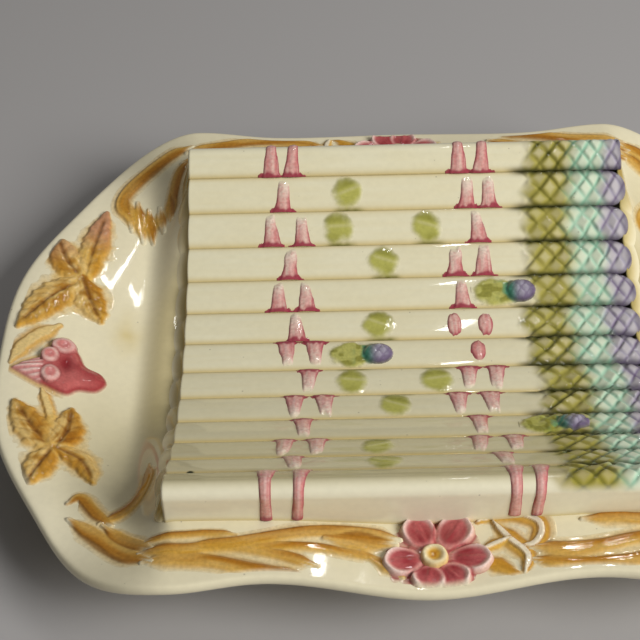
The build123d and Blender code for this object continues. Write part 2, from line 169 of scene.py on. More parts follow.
def rounded_path(points: Sequence[tuple[float, float]], steps: int = 8) -> Array:
    """Points of a smooth line through a few given ones.

    Args:
        points: the given points in plan, in mm.
        steps: pieces per span.

    Returns:
        The points of the line, one per row.
    """
    given = np.array(points, float)
    ends = np.vstack([2 * given[0] - given[1], given, 2 * given[-1] - given[-2]])
    line = []
    for index in range(1, len(ends) - 2):
        a, b, c, d = ends[index - 1:index + 3]
        t = np.linspace(0.0, 1.0, steps, endpoint=False)[:, None]
        line.append(0.5 * (2 * b + (c - a) * t + (2 * a - 5 * b + 4 * c - d) * t**2
                           + (3 * b - a - 3 * c + d) * t**3))
    return np.vstack(line + [given[-1:]])


@dataclass
class PathField:
    """Where points lie beside a line in plan: distance, place along it and side."""

    distance: Array
    along: Array
    side: Array
    length: float


def beside(path: Array, x: Array, y: Array) -> PathField:
    """Measure points against a line.

    Args:
        path: points of the line, one per row, in mm.
        x: first coordinates in mm.
        y: second coordinates in mm.

    Returns:
        The nearest distance, the length along the line there, and the signed side.
    """
    start, run = path[:-1], np.diff(path, axis=0)
    span = np.maximum(np.hypot(run[:, 0], run[:, 1]), 1e-9)
    begun = np.concatenate([[0.0], np.cumsum(span)])
    best = np.full(x.shape, 1e9)
    along = np.zeros(x.shape)
    side = np.zeros(x.shape)
    for index in range(len(run)):
        dx, dy = x - start[index, 0], y - start[index, 1]
        t = np.clip((dx * run[index, 0] + dy * run[index, 1]) / span[index] ** 2, 0.0, 1.0)
        gap = np.hypot(dx - t * run[index, 0], dy - t * run[index, 1])
        near = gap < best
        cross = run[index, 0] * dy - run[index, 1] * dx
        best = np.where(near, gap, best)
        along = np.where(near, begun[index] + t * span[index], along)
        side = np.where(near, np.sign(cross) * gap, side)
    return PathField(best, along, side, float(begun[-1]))


def add_node(tree: bpy.types.NodeTree, kind: str, settings: dict | None = None,
             links: dict | None = None) -> bpy.types.Node:
    """Add a shader node with its settings and links.

    Args:
        tree: the material's node tree.
        kind: the node's type name.
        settings: attribute names, or input names and numbers, with their values.
        links: input names or numbers with the output sockets that feed them.

    Returns:
        The new node.
    """
    node = tree.nodes.new(kind)
    for key, value in (settings or {}).items():
        if isinstance(key, str) and hasattr(node, key):
            setattr(node, key, value)
        else:
            node.inputs[key].default_value = value
    for key, socket in (links or {}).items():
        tree.links.new(socket, node.inputs[key])
    return node


@dataclass(frozen=True)
class Glaze:
    """Lead glaze over painted earthenware: a clear glossy coat that pools and carries tiny specks.

    Its coat gives sharp small highlights that waver a little, because a dipped glaze is never flat.
    Sizes and heights are in mm; mottle and speck are shares of the colour.
    """

    name: str
    roughness: float = 0.05
    refraction: float = 1.52
    ripple_size: float = 9.0
    ripple_height: float = 0.05
    mottle_size: float = 3.0
    mottle: float = 0.03
    mottle_band: Point = (0.3, 0.7)
    speck_size: float = 5.0
    speck: float = 0.35
    speck_rarity: float = 0.8
    speck_edge: Point = (0.10, 0.04)

    def material(self) -> bpy.types.Material:
        """Make the material, which reads the painted attribute and Object coordinates.

        Returns:
            The new material.
        """
        made = bpy.data.materials.new(self.name)
        made.use_nodes = True
        tree = made.node_tree
        shader = tree.nodes["Principled BSDF"]
        place = add_node(tree, "ShaderNodeTexCoord").outputs["Object"]
        paint = add_node(tree, "ShaderNodeAttribute", {"attribute_name": PAINT}).outputs["Color"]
        mottle = add_node(tree, "ShaderNodeTexNoise",
                          {"Scale": 1.0 / (self.mottle_size * METRE), "Detail": 3.0}, {"Vector": place})
        level = add_node(tree, "ShaderNodeMapRange",
                         {"From Min": self.mottle_band[0], "From Max": self.mottle_band[1],
                          "To Min": 1.0 - self.mottle, "To Max": 1.0 + 0.5 * self.mottle},
                         {"Value": mottle.outputs["Fac"]})
        toned = add_node(tree, "ShaderNodeVectorMath", {"operation": "SCALE"},
                         {0: paint, "Scale": level.outputs["Result"]})
        cells = add_node(tree, "ShaderNodeTexVoronoi",
                         {"Scale": 1.0 / (self.speck_size * METRE), "Randomness": 1.0}, {"Vector": place})
        rare = add_node(tree, "ShaderNodeSeparateColor", {}, {"Color": cells.outputs["Color"]})
        chosen = add_node(tree, "ShaderNodeMath", {"operation": "GREATER_THAN", 1: self.speck_rarity},
                          {0: rare.outputs["Red"]})
        dot = add_node(tree, "ShaderNodeMapRange",
                       {"From Min": self.speck_edge[0], "From Max": self.speck_edge[1],
                        "To Min": 0.0, "To Max": self.speck}, {"Value": cells.outputs["Distance"]})
        speck = add_node(tree, "ShaderNodeMath", {"operation": "MULTIPLY"},
                         {0: chosen.outputs["Value"], 1: dot.outputs["Result"]})
        mixed = add_node(tree, "ShaderNodeMix", {"data_type": "RGBA", 7: (*linear(Tone.SPECK), 1.0)},
                         {0: speck.outputs["Value"], 6: toned.outputs["Vector"]})
        tree.links.new(mixed.outputs[2], shader.inputs["Base Color"])
        ripple = add_node(tree, "ShaderNodeTexNoise",
                          {"Scale": 1.0 / (self.ripple_size * METRE), "Detail": 1.0}, {"Vector": place})
        bump = add_node(tree, "ShaderNodeBump", {"Strength": 1.0, "Distance": self.ripple_height * METRE},
                        {"Height": ripple.outputs["Fac"]})
        tree.links.new(bump.outputs["Normal"], shader.inputs["Normal"])
        shader.inputs["Roughness"].default_value = self.roughness
        shader.inputs["IOR"].default_value = self.refraction
        return made


class Finish(Enum):
    """Material slots with the glaze that each one wears."""

    # Clear lead glaze dipped over cream clay: quiet and even, with a few dark specks of iron.
    CREAM = ("cream_glaze", Glaze("cream_lead_glaze", speck=0.45))
    # The same glaze on smooth moulded stalks: longer ripples, so highlights stretch along the spears.
    SPEAR = ("spear_glaze", Glaze("spear_lead_glaze", ripple_size=14.0, speck=0.5))
    # Pink brushed on under the glaze: thin and thick colour lies side by side, so it looks streaky.
    PINK = ("pink_glaze", Glaze("pink_underglaze", mottle=0.16, mottle_size=1.2, speck=0.0))
    # Green wash under the glaze: soft watery patches that melt into the stalk.
    GREEN = ("green_glaze", Glaze("green_underglaze", mottle=0.10, mottle_size=1.6, speck=0.0))
    # Purple and blue-green dabs under the glaze: dark and blotchy, so the round buds stand out.
    BUD = ("bud_glaze", Glaze("bud_underglaze", mottle=0.18, mottle_size=1.4, speck=0.0))
    # Ochre dabs on cream under the glaze: a pale ring with a warm hollow.
    CENTRE = ("flower_centre_glaze",
              Glaze("flower_centre_underglaze", mottle=0.12, mottle_size=1.4, speck=0.0))
    # Ochre and brown brushed over moulded veins: it gathers in the hollows, like a dry leaf.
    LEAF = ("leaf_glaze", Glaze("leaf_underglaze", mottle=0.16, mottle_size=1.6, speck=0.0))
    # Ochre strokes of a loaded brush under the glaze: warm bands with paler hairs in them.
    RIBBON = ("ribbon_glaze", Glaze("ribbon_underglaze", mottle=0.16, mottle_size=1.6, speck=0.0))

    @property
    def slot(self) -> str:
        """Name of the material slot."""
        return self.value[0]


MATERIALS: dict[Finish, bpy.types.Material] = {}


def dress(mesh: bpy.types.Mesh, name: str, nodes: Sequence[str], finish: Finish, back: float = 0.0) -> None:
    """Make a mesh a piece of the plate that stands for solids of the frame.

    Args:
        mesh: the finished mesh, in metres.
        name: the piece's name.
        nodes: the solids that it stands for.
        finish: the glaze that it wears.
        back: thickness in mm that closes an open sheet from behind, or 0.
    """
    piece = bpy.data.objects.new(name, mesh)
    bpy.context.scene.collection.objects.link(piece)
    if finish not in MATERIALS:
        MATERIALS[finish] = finish.value[1].material()
    mesh.materials.append(MATERIALS[finish])
    mesh.polygons.foreach_set("use_smooth", np.ones(len(mesh.polygons), bool))
    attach(piece, "root")
    if back:
        shell = piece.modifiers.new("back", "SOLIDIFY")
        shell.thickness = back * METRE
        shell.offset = -1.0
    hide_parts(*nodes)
    LOG.info("%s: %d faces", name, len(mesh.polygons))


def vertices(mesh: bpy.types.Mesh) -> Array:
    """Read where a mesh's vertices are.

    Args:
        mesh: the mesh, in metres.

    Returns:
        Their places in mm, one per row.
    """
    flat = np.empty(3 * len(mesh.vertices))
    mesh.vertices.foreach_get("co", flat)
    return flat.reshape(-1, 3) / METRE


def lay_paint(mesh: bpy.types.Mesh, colours: Array) -> None:
    """Store colours on a mesh's vertices as the painted attribute."""
    layer = mesh.attributes.new(PAINT, "FLOAT_COLOR", "POINT")
    layer.data.foreach_set("color", np.column_stack([colours, np.ones(len(colours))]).ravel())


def mesh_from(graph: bmesh.types.BMesh, name: str) -> bpy.types.Mesh:
    """Turn a bmesh into a mesh, and free it.

    Args:
        graph: the bmesh, in metres.
        name: the mesh's name.

    Returns:
        The mesh.
    """
    mesh = bpy.data.meshes.new(name)
    graph.to_mesh(mesh)
    graph.free()
    return mesh


@dataclass
class GridSheet:
    """A sheet that starts as a flat grid, with two numbers from 0 to 1 kept for each vertex."""

    columns: int
    rows: int
    graph: bmesh.types.BMesh = field(init=False)
    u: Array = field(init=False)
    v: Array = field(init=False)
    kept: Array = field(init=False)

    def __post_init__(self) -> None:
        """Make the grid and number its vertices."""
        self.graph = bmesh.new()
        bmesh.ops.create_grid(self.graph, x_segments=self.columns, y_segments=self.rows, size=0.5)
        flat = np.array([vertex.co[:2] for vertex in self.graph.verts])
        self.u, self.v = flat[:, 0] + 0.5, flat[:, 1] + 0.5

    def shape(self, points: Array, keep: Array | None = None, merge: float = 0.0) -> bpy.types.Mesh:
        """Move the vertices to their places and make the mesh.

        Args:
            points: places in mm, one row per vertex.
            keep: which vertices carry faces; a face stays if any of its corners does.
            merge: distance in mm under which vertices are joined, or 0.

        Returns:
            The mesh, in metres.
        """
        number = self.graph.verts.layers.int.new("number")
        for index, (vertex, place) in enumerate(zip(self.graph.verts, points * METRE)):
            vertex.co = place
            vertex[number] = index
        if keep is not None:
            bare = [f for f in self.graph.faces if not any(keep[v.index] for v in f.verts)]
            bmesh.ops.delete(self.graph, geom=bare, context="FACES")
        if merge:
            bmesh.ops.remove_doubles(self.graph, verts=self.graph.verts[:], dist=merge * METRE)
        self.kept = np.array([vertex[number] for vertex in self.graph.verts])
        self.graph.verts.layers.int.remove(number)
        return mesh_from(self.graph, "sheet")


@dataclass
class PlateForm:
    """Sizes of the platter in mm, the same as the solids', and the heights that follow from them."""

    quarter: tuple[Point, ...] = ((0.0, 140.5), (70.0, 135.0), (104.0, 139.0), (129.0, 130.0), (157.0, 93.0),
                                  (178.0, 50.0), (183.0, 0.0))
    foot_height: float = 8.0
    wall: float = 6.5
    lip_round: float = 2.6
    lip_share: float = 0.988
    side_height: float = 42.5
    end_height: float = 31.5
    dip: float = 5.0
    dip_reach: float = 45.0
    fall_start: float = 100.0
    fall_end: float = 148.0
    strip_edge: float = 0.745
    strip_foot: float = 0.53
    well_edge: float = 0.60
    floor_edge: float = 0.50
    foot_outside: float = 0.48
    foot_inside: float = 0.435
    strip_end: float = 98.0
    well_start: float = 124.0
    outline_count: int = 481

    def __post_init__(self) -> None:
        """Work out the outline: a clamped cubic line through the quarter's points, mirrored."""
        given = np.array(self.quarter)
        knots = np.concatenate([[0.0], np.cumsum(np.hypot(*np.diff(given, axis=0).T))])
        gaps = np.diff(knots)
        count = len(given)
        system = np.zeros((count, count))
        right = np.zeros((count, 2))
        system[0, 0] = system[-1, -1] = 1.0
        right[0], right[-1] = (1.0, 0.0), (0.0, -1.0)
        for i in range(1, count - 1):
            system[i, i - 1:i + 2] = gaps[i], 2.0 * (gaps[i - 1] + gaps[i]), gaps[i - 1]
            right[i] = 3.0 * (gaps[i] * (given[i] - given[i - 1]) / gaps[i - 1]
                              + gaps[i - 1] * (given[i + 1] - given[i]) / gaps[i])
        slopes = np.linalg.solve(system, right)
        at = np.linspace(0.0, knots[-1], self.outline_count // 4 + 1)
        span = np.clip(np.searchsorted(knots, at, side="right") - 1, 0, count - 2)
        t = ((at - knots[span]) / gaps[span])[:, None]
        width = gaps[span][:, None]
        first = ((2 * t**3 - 3 * t**2 + 1) * given[span] + (t**3 - 2 * t**2 + t) * width * slopes[span]
                 + (-2 * t**3 + 3 * t**2) * given[span + 1] + (t**3 - t**2) * width * slopes[span + 1])
        half = np.vstack([first, (first * (1, -1))[-2::-1]])
        self.outline = np.vstack([half, -half[1:]])
        self.bearing = np.arctan2(first[::-1, 1], first[::-1, 0])
        self.radius = np.hypot(first[::-1, 0], first[::-1, 1])

    @property
    def floor(self) -> float:
        """Height of the floor's upper face."""
        return self.foot_height + self.wall

    def share(self, x: Array, y: Array) -> Array:
        """Share of the way from the middle to the outline at points in plan."""
        return np.hypot(x, y) / np.interp(np.arctan2(np.abs(y), np.abs(x)), self.bearing, self.radius)

    def rim(self, x: Array) -> Array:
        """Height of the rim's edge.

        Args:
            x: first coordinate in mm.

        Returns:
            The heights in mm.
        """
        fall = smooth((self.fall_end - np.abs(x)) / (self.fall_end - self.fall_start))
        dip = self.dip * hump(x / self.dip_reach)
        return self.end_height + (self.side_height - self.end_height) * fall - dip

    def inside(self, x: Array, share: Array) -> Array:
        """Height of the upper face at a share of the way to the outline.

        Args:
            x: first coordinate in mm.
            share: share of the way from the middle to the outline, 0 to 1.

        Returns:
            The heights in mm.
        """
        at_side = smooth((share - self.strip_foot) / (self.strip_edge - self.strip_foot))
        at_end = smooth((share - self.well_edge) / (1.0 - self.well_edge))
        along = smooth((np.abs(x) - self.strip_end) / (self.well_start - self.strip_end))
        return self.floor + (self.rim(x) - self.floor) * (at_side * (1.0 - along) + at_end * along)

    def upper(self, x: Array, y: Array) -> Array:
        """Height of the upper face at points in plan."""
        return self.inside(x, self.share(x, y))


@dataclass
class SpearForm:
    """Sizes of the trough and its spears in mm.

    They are the solids', but for two: glaze lies in the grooves, so the crown is lower here, and the scales,
    whose edges the glaze rounds off, rise a little higher.
    """

    count: int = 13
    pitch: float = 17.6
    length: float = 205.0
    crown: float = 1.0
    radius: float = 155.7
    base: float = 22.0
    roll_round: float = 5.0
    flank: float = 2.8
    scale_start: float = 50.0
    scale_length: float = 12.0
    scale_width: float = 10.8
    scale_rise: float = 1.0

    def __post_init__(self) -> None:
        """Work out the grooves between the spears, front to back, as (Y, Z)."""
        turn = 2.0 * math.asin(self.pitch / 2.0 / self.radius)
        angles = (np.arange(self.count + 1) - self.count / 2.0) * turn
        height = self.base + self.radius * (1 - np.cos(angles))
        self.grooves = np.column_stack([self.radius * np.sin(angles), height])
        self.end = self.length / 2.0

    def facet(self, number: int) -> tuple[Array, Array, Array]:
        """Find the flat facet that a spear lies on.

        Args:
            number: the spear's number, 1 at the back.

        Returns:
            Its middle, its direction up the trough and its outward normal, in Y and Z.
        """
        low, high = self.grooves[self.count - number], self.grooves[self.count - number + 1]
        run = (high - low) / np.linalg.norm(high - low)
        return (low + high) / 2.0, run, np.array([-run[1], run[0]])

    def roll(self, side: int) -> tuple[Array, Array, Array]:
        """Section of an outer spear from its groove over the crest to the rim.

        Args:
            side: 1 for the back spear, -1 for the front one.

        Returns:
            Points (Y, Z), their outward normals, and the length along the section in mm.
        """
        crest, inner = self.grooves[-1], self.grooves[-2]
        run = (crest - inner) / np.linalg.norm(crest - inner)
        out = np.array([-run[1], run[0]])
        corner = crest + run * (self.flank / run[0])
        tangent = self.roll_round / math.tan((math.pi / 2.0 - math.atan2(run[1], run[0])) / 2.0)
        start = corner - run * tangent
        middle = start - out * self.roll_round
        share = np.linspace(0.0, 1.0, 24, endpoint=False)[:, None]
        face = inner + (start - inner) * share + out * self.crown * (1.0 - np.abs(2.0 * share - 1.0) ** 2)
        begin = math.atan2(out[1], out[0])
        angles = np.linspace(begin, 0.0, 25)
        arc = middle + self.roll_round * np.column_stack([np.cos(angles), np.sin(angles)])
        down = np.column_stack([np.full(16, arc[-1, 0]), np.linspace(arc[-1, 1], arc[-1, 1] - 26.0, 17)[1:]])
        line = np.vstack([face, arc, down])
        slope = np.gradient(line, axis=0)
        normal = np.column_stack([-slope[:, 1], slope[:, 0]])
        normal /= np.linalg.norm(normal, axis=1)[:, None]
        along = np.concatenate([[0.0], np.cumsum(np.linalg.norm(np.diff(line, axis=0), axis=1))])
        mirror = np.array([side, 1.0])
        return line * mirror, normal * mirror, along


PLATE = PlateForm()
SPEARS = SpearForm()


@dataclass
class Platter:
    """The oval dish with its lobed rim, end wells and foot ring."""

    form: PlateForm = field(default_factory=lambda: PLATE)
    upper_rows: int = 64
    under_rows: int = 24
    foot_edge: float = 0.6
    foot_slant: float = 0.004

    def profile(self) -> list[tuple[float, str, float]]:
        """Rows of the dish from the middle of its floor, over the lip, to the middle of its underside.

        Returns:
            For each row its share of the outline, what its height follows, and a number for that.
        """
        form = self.form
        rows = [(0.0, "level", form.floor), (0.25, "level", form.floor)]
        rows += [(s, "upper", 0.0) for s in np.linspace(form.floor_edge, form.lip_share, self.upper_rows)]
        for turn in np.linspace(math.pi / 2, -math.pi / 2, 9)[1:]:
            share = form.lip_share + (1.0 - form.lip_share) * math.cos(turn)
            rows.append((share, "upper", form.lip_round * (math.sin(turn) - 1.0)))
        for share in np.linspace(form.lip_share, form.floor_edge, self.under_rows)[1:]:
            rows.append((share, "upper", -form.wall))
        edge, slant = self.foot_edge, self.foot_slant
        for share, height in ((form.foot_outside, form.foot_height), (form.foot_outside, edge),
                              (form.foot_outside - slant, 0.0), (form.foot_inside + slant, 0.0),
                              (form.foot_inside, edge), (form.foot_inside, form.foot_height),
                              (0.2, form.foot_height), (0.0, form.foot_height)):
            rows.append((share, "level", height))
        return rows

    def build(self) -> None:
        """Make the dish and paint it."""
        form = self.form
        rows = self.profile()
        around = len(form.outline) - 1
        sheet = GridSheet(around, len(rows) - 1)
        column = np.rint(sheet.u * around).astype(int)
        row = np.rint(sheet.v * (len(rows) - 1)).astype(int)
        share = np.array([r[0] for r in rows])[row]
        level = np.array([r[1] == "level" for r in rows])[row]
        number = np.array([r[2] for r in rows])[row]
        plan = form.outline[column] * share[:, None]
        height = np.where(level, number, form.inside(plan[:, 0], share) + number)
        mesh = sheet.shape(np.column_stack([plan, height]), merge=0.001)
        lay_paint(mesh, self.paint(vertices(mesh)))
        dress(mesh, "platter", ["platter"], Finish.CREAM)

    def paint(self, spot: Array) -> Array:
        """Colours of the cream glaze: its stains and pools, and painted shade in the wells and on the rim.

        Args:
            spot: places in mm, one per row.

        Returns:
            The colours, one per row.
        """
        x, y, _ = spot.T
        share = self.form.share(x, y)
        colour = coat(Tone.CREAM, len(spot))
        colour = blend(colour, Tone.CREAM_LIGHT, 0.25 * smooth((share - 0.90) / 0.08))
        # Glaze pooled at the cradle's foot in each well, darkened further with painted shade.
        pool_and_shade = smooth((128.0 - np.abs(x)) / 16.0) * smooth((0.72 - share) / 0.1)
        colour = blend(colour, Tone.STAIN_AND_SHADE, 0.55 * pool_and_shade)
        colour = blend(colour, Tone.SHADE, 0.30 * pool_and_shade)
        # Painted shade over the front of the left well and, turned half round, the back of the right well.
        well = smooth((np.abs(x) - 100.0) / 15.0)
        low = smooth((np.sign(x) * y + 10.0) / 70.0) * well * smooth((0.98 - share) / 0.25)
        colour = blend(colour, Tone.SHADE, 0.36 * low)
        # Painted shade along the front and back of the rim.
        colour = blend(colour, Tone.SHADE, 0.11 * smooth((np.abs(y) - 108.0) / 18.0))
        for sign in (1, -1):
            blot = np.exp(-(((sign * x + 129.0) / 6.0) ** 2 + ((sign * y - 20.0) / 11.0) ** 2))
            colour = blend(colour, Tone.STAIN_AND_SHADE, 0.8 * blot * (0.8 + 0.4 * grain(x, y, 5.0, 3)))
        return colour


PLATTER = Platter()


@dataclass
class SpearBed:
    """Thirteen spears in the trough: crowned stalks, scaled tips and nearly straight butt ends."""

    form: SpearForm = field(default_factory=lambda: SPEARS)
    rows_along: int = 400
    rows_across: int = 32
    roll_rows: int = 72
    roll_reach: float = 30.0
    back: float = 1.0
    butt_bulge: float = 0.4
    butt_round: float = 1.0
    butt_drop: float = 3.0
    groove_depth: float = 0.62
    groove_power: float = 3.2
    tip_round: float = 11.0
    tip_end: float = 104.0
    tip_fall: float = 9.0
    tip_sink: float = 1.2
    scale_tilt: float = 0.15
    rim_tuck: float = 0.6
    end_inset: float = 1.2
    end_under: float = 1.0
    end_tuck: float = 0.5
    end_skirt: float = 6.0
    flute_bulge: float = 1.4
    vent_place: float = -92.3
    vent_radius: float = 1.1
    middle_spear: int = 7
    # Painted shade shares for spears 8 to 12 and the front roll.
    painted_front_shade: tuple[float, ...] = (0.06, 0.14, 0.27, 0.37, 0.31, 0.55)
    bracts: tuple[tuple[int, float], ...] = (
        (2, -27.5), (3, -32.0), (3, 9.5), (4, -11.5), (6, -15.0), (8, -27.5), (8, 9.5), (9, -9.5),
        (11, -18.0), (12, -16.0))

    def place(self, number: int, x: Array, t: Array, lift: Array) -> Array:
        """Put points on a spear.

        Args:
            number: the spear's number, 1 at the back.
            x: place along the spear in mm.
            t: place across it in mm, from the middle of its face up the trough.
            lift: height over the spear's bed in mm.

        Returns:
            The points in the plate's frame, one per row.
        """
        form = self.form
        if 1 < number < form.count:
            middle, up, out = form.facet(number)
            y, z = (middle[axis] + t * up[axis] + lift * out[axis] for axis in (0, 1))
            return np.column_stack([x, y, z])
        line, normal, along = form.roll(1 if number == 1 else -1)
        s = (t if number == 1 else -t) + form.pitch / 2.0
        y, z, ny, nz = (np.interp(s, along, values) for values in (*line.T, *normal.T))
        return np.column_stack([x, y + lift * ny, z + lift * nz])

    def crown(self, number: int, t: Array) -> Array:
        """Height of a spear's face over its bed.

        Args:
            number: the spear's number.
            t: place across it in mm.

        Returns:
            The heights in mm.
        """
        if number in (1, self.form.count):
            return np.zeros(len(t))
        beside_roll = ((number == 2) & (t > 0.0)) | ((number == self.form.count - 1) & (t < 0.0))
        depth = np.where(beside_roll, 1.0, self.groove_depth)
        return self.form.crown * (1.0 - depth * np.abs(2.0 * t / self.form.pitch) ** self.groove_power)

    def lattice(self, x: Array, t: Array, number: int) -> tuple[Array, Array, Array, Array]:
        """Lozenge lattice of the scaled tip, closer towards the end.

        Args:
            x: place along the spear in mm.
            t: place across it in mm.
            number: the spear's number, which shifts its lattice a little.

        Returns:
            Distance in mm to the rising lines and to the falling ones, the place inside the lozenge, 0 to 1,
            and the height in mm that each scale's own small tilt gives.
        """
        form = self.form
        run = x - form.scale_start + 2.6 * math.sin(2.1 * number)
        run = run + 0.18 * np.clip(run, 0.0, 60.0) ** 2 / 20.0
        sway = 0.07 * grain(x, t, 6.0, number)
        a = run / form.scale_length + t / form.scale_width + sway
        b = run / form.scale_length - t / form.scale_width - sway
        fa, fb = a - np.floor(a), b - np.floor(b)
        reach = form.scale_length * form.scale_width / math.hypot(form.scale_length, form.scale_width)
        chance = [np.sin(np.floor(a) * p + np.floor(b) * q + 3.7 * number)
                  for p, q in ((12.9, 78.2), (39.3, 11.1))]
        along, across = ((fa + fb) / 2.0 - 0.5) * form.scale_length, (fa - fb) / 2.0 * form.scale_width
        lean = self.scale_tilt * (chance[0] * along + chance[1] * across)
        return np.minimum(fa, 1 - fa) * reach, np.minimum(fb, 1 - fb) * reach, (fa + fb) / 2.0, lean

    def tip_start(self, number: int) -> float:
        """Where a spear's scaled tip starts in mm, later on the first three spears."""
        return self.form.scale_start + 2.0 * math.sin(1.7 * number) + (3.5 if number <= 3 else 0.0)

    def scales(self, x: Array, t: Array, number: int) -> Array:
        """Height of the scales over the stalk.

        Args:
            x: place along the spear in mm.
            t: place across it in mm.
            number: the spear's number.

        Returns:
            The heights in mm.
        """
        rising, falling, place, lean = self.lattice(x, t, number)
        region = smooth((x - self.tip_start(number)) / 6.0)
        bulge = [1.0 - (1.0 - np.clip(side / 2.2, 0.0, 1.0)) ** 2 for side in (rising, falling)]
        lift = self.form.scale_rise * (0.55 + 0.45 * place) + lean
        return region * (bulge[0] * bulge[1] * lift - 0.2 * self.form.scale_rise)

    def stalk_paint(self, x: Array, t: Array, number: int) -> Array:
        """Colours of one spear, with painted shade on the spears of the trough's front half.

        Args:
            x: place along the spear in mm.
            t: place across it in mm, up the trough.
            number: the spear's number.

        Returns:
            The colours, one per vertex.
        """
        form = self.form
        half = form.pitch / 2.0
        bare = coat(Tone.SPEAR, len(x))
        streak = grain(x, t, 26.0, number) * 0.5 + grain(x / 12.0, t, 1.3, number + 5) * 0.5
        bare = blend(bare, Tone.STAIN_AND_SHADE, 0.10 + 0.14 * streak)
        # Painted shade: the spears of the trough's front half and the front roll are darkened step by step.
        if number > self.middle_spear:
            deep = self.painted_front_shade[number - self.middle_spear - 1]
            bare = blend(bare, Tone.SHADE, np.full(len(x), deep))
        low = np.abs(t + half) + (100.0 if number == form.count else 0.0)
        high = np.abs(t - half) + (100.0 if number == 1 else 0.0)
        edge = np.minimum(low, high)
        bare = blend(bare, Tone.POOL, 0.62 * hump(low / 1.9) + 0.40 * hump(high / 1.4))
        bare = blend(bare, Tone.POOL_DEEP, 0.12 * hump(edge / 0.5))
        near = low if number < self.middle_spear else high
        for at in (place for spear, place in self.bracts if spear == number):
            reach = np.exp(-(((x - at - 1.0) / 6.5) ** 4)) * (0.75 + 0.25 * grain(x, t, 2.0, 4))
            bare = blend(bare, Tone.BRACT_DEEP, reach * hump(near / 1.7))
            bare = blend(bare, Tone.DARK_PAINT_AND_SHADE, 0.55 * reach * hump(near / 0.9))
        colour = self.tip_paint(x, t, number, bare, edge)
        # Painted shade: a dark spot stands for the vent hole's shadowed opening, which has no depth here.
        if number >= form.count - 1:
            across = t + half if number < form.count else half - t
            hole = np.hypot(x - self.vent_place, across - 0.4)
            colour = blend(colour, Tone.DARK_PAINT_AND_SHADE, 1.1 * smooth((self.vent_radius + 0.6 - hole) / 0.6))
        return colour

    def tip_paint(self, x: Array, t: Array, number: int, bare: Array, edge: Array) -> Array:
        """Colours of the scaled tip over a bare stalk: ochre, then turquoise, then mauve.

        Args:
            x: place along the spear in mm.
            t: place across it in mm.
            number: the spear's number.
            bare: the stalk's colours.
            edge: distance to the nearer groove in mm.

        Returns:
            The colours, one per vertex.
        """
        form = self.form
        count = len(x)
        rising, falling, _, _ = self.lattice(x, t, number)
        gap = np.minimum(rising, falling)
        run = x - self.tip_start(number) - 2.5 * grain(x * 0.0 + number * 7.0, t, 6.0, 9)
        patch = 0.5 + 0.5 * grain(x, t, 9.0, number + 3)
        start = smooth((run + 3.0 * (patch - 0.5)) / 6.0)
        blue = smooth((run - 19.0) / 10.0)
        mauve = smooth((run - 36.0) / 6.0)
        broken = smooth(0.5 + 1.3 * grain(x, t, 7.0, number + 8))
        dark = hump(falling / 0.85) * (0.35 + 0.65 * patch)
        fine = hump(rising / 0.75) * (0.25 + 0.75 * broken)
        soft = hump(gap / 1.7) * broken
        knot = hump(np.hypot(rising, falling) / 2.0) * smooth(2.4 * patch - 0.9)
        tip = blend(bare, Tone.SCALE_OCHRE, 0.88 - 0.50 * smooth((gap - 0.9) / 2.2) * (0.35 + 0.65 * patch))
        tip = blend(tip, Tone.STAIN_AND_SHADE, 0.30 * smooth((gap - 1.5) / 2.0) * smooth(2.0 * patch - 0.6))
        tip = blend(tip, Tone.SCALE_OLIVE, 0.85 * dark + 0.60 * fine + 0.15 * soft)
        tip = blend(tip, Tone.DARK_PAINT_AND_SHADE, 0.55 * dark * patch + 0.45 * knot)
        sea = blend(coat(Tone.TURQUOISE, count), Tone.CREAM_LIGHT, 0.50 * smooth(gap / 2.4))
        sea = blend(sea, Tone.TEAL, 0.34 * dark + 0.14 * fine + 0.22 * soft * patch)
        dusk = blend(coat(Tone.LAVENDER, count), Tone.CREAM_LIGHT, 0.20 * smooth(gap / 2.4))
        dusk = blend(dusk, Tone.PURPLE, 0.75 * dark + 0.45 * fine + 0.30 * soft)
        dusk = blend(dusk, Tone.PURPLE_DEEP, 0.6 * smooth((x - self.tip_end + 4.5) / 3.0))
        tip = tip * (1.0 - blue[:, None]) + sea * blue[:, None]
        tip = tip * (1.0 - mauve[:, None]) + dusk * mauve[:, None]
        colour = bare * (1.0 - start[:, None]) + tip * start[:, None]
        reach = smooth((x - form.scale_start + 4.0 - 4.0 * math.sin(3.3 * number)) / 9.0)
        heavy = 0.7 * math.exp(-(((number - 8.5) / 2.0) ** 2))
        ink = hump(edge / (1.4 + heavy + 0.8 * patch)) * reach
        colour = blend(colour, Tone.TEAL, 0.40 * hump(edge / 2.6) * blue * (1.0 - mauve))
        colour = blend(colour, Tone.DARK_PAINT_AND_SHADE, ink * (0.95 - 0.30 * blue))
        return blend(colour, Tone.PURPLE_DEEP, 0.7 * ink * mauve)

    def round_off(self, inward: Array) -> Array:
        """Depth in mm that a butt's rounded edge falls, at distances in mm inward from it."""
        share = np.clip(inward / self.butt_round, 0.0, 1.0)
        return self.butt_round * (1.0 - np.sqrt(1.0 - (1.0 - share) ** 2))

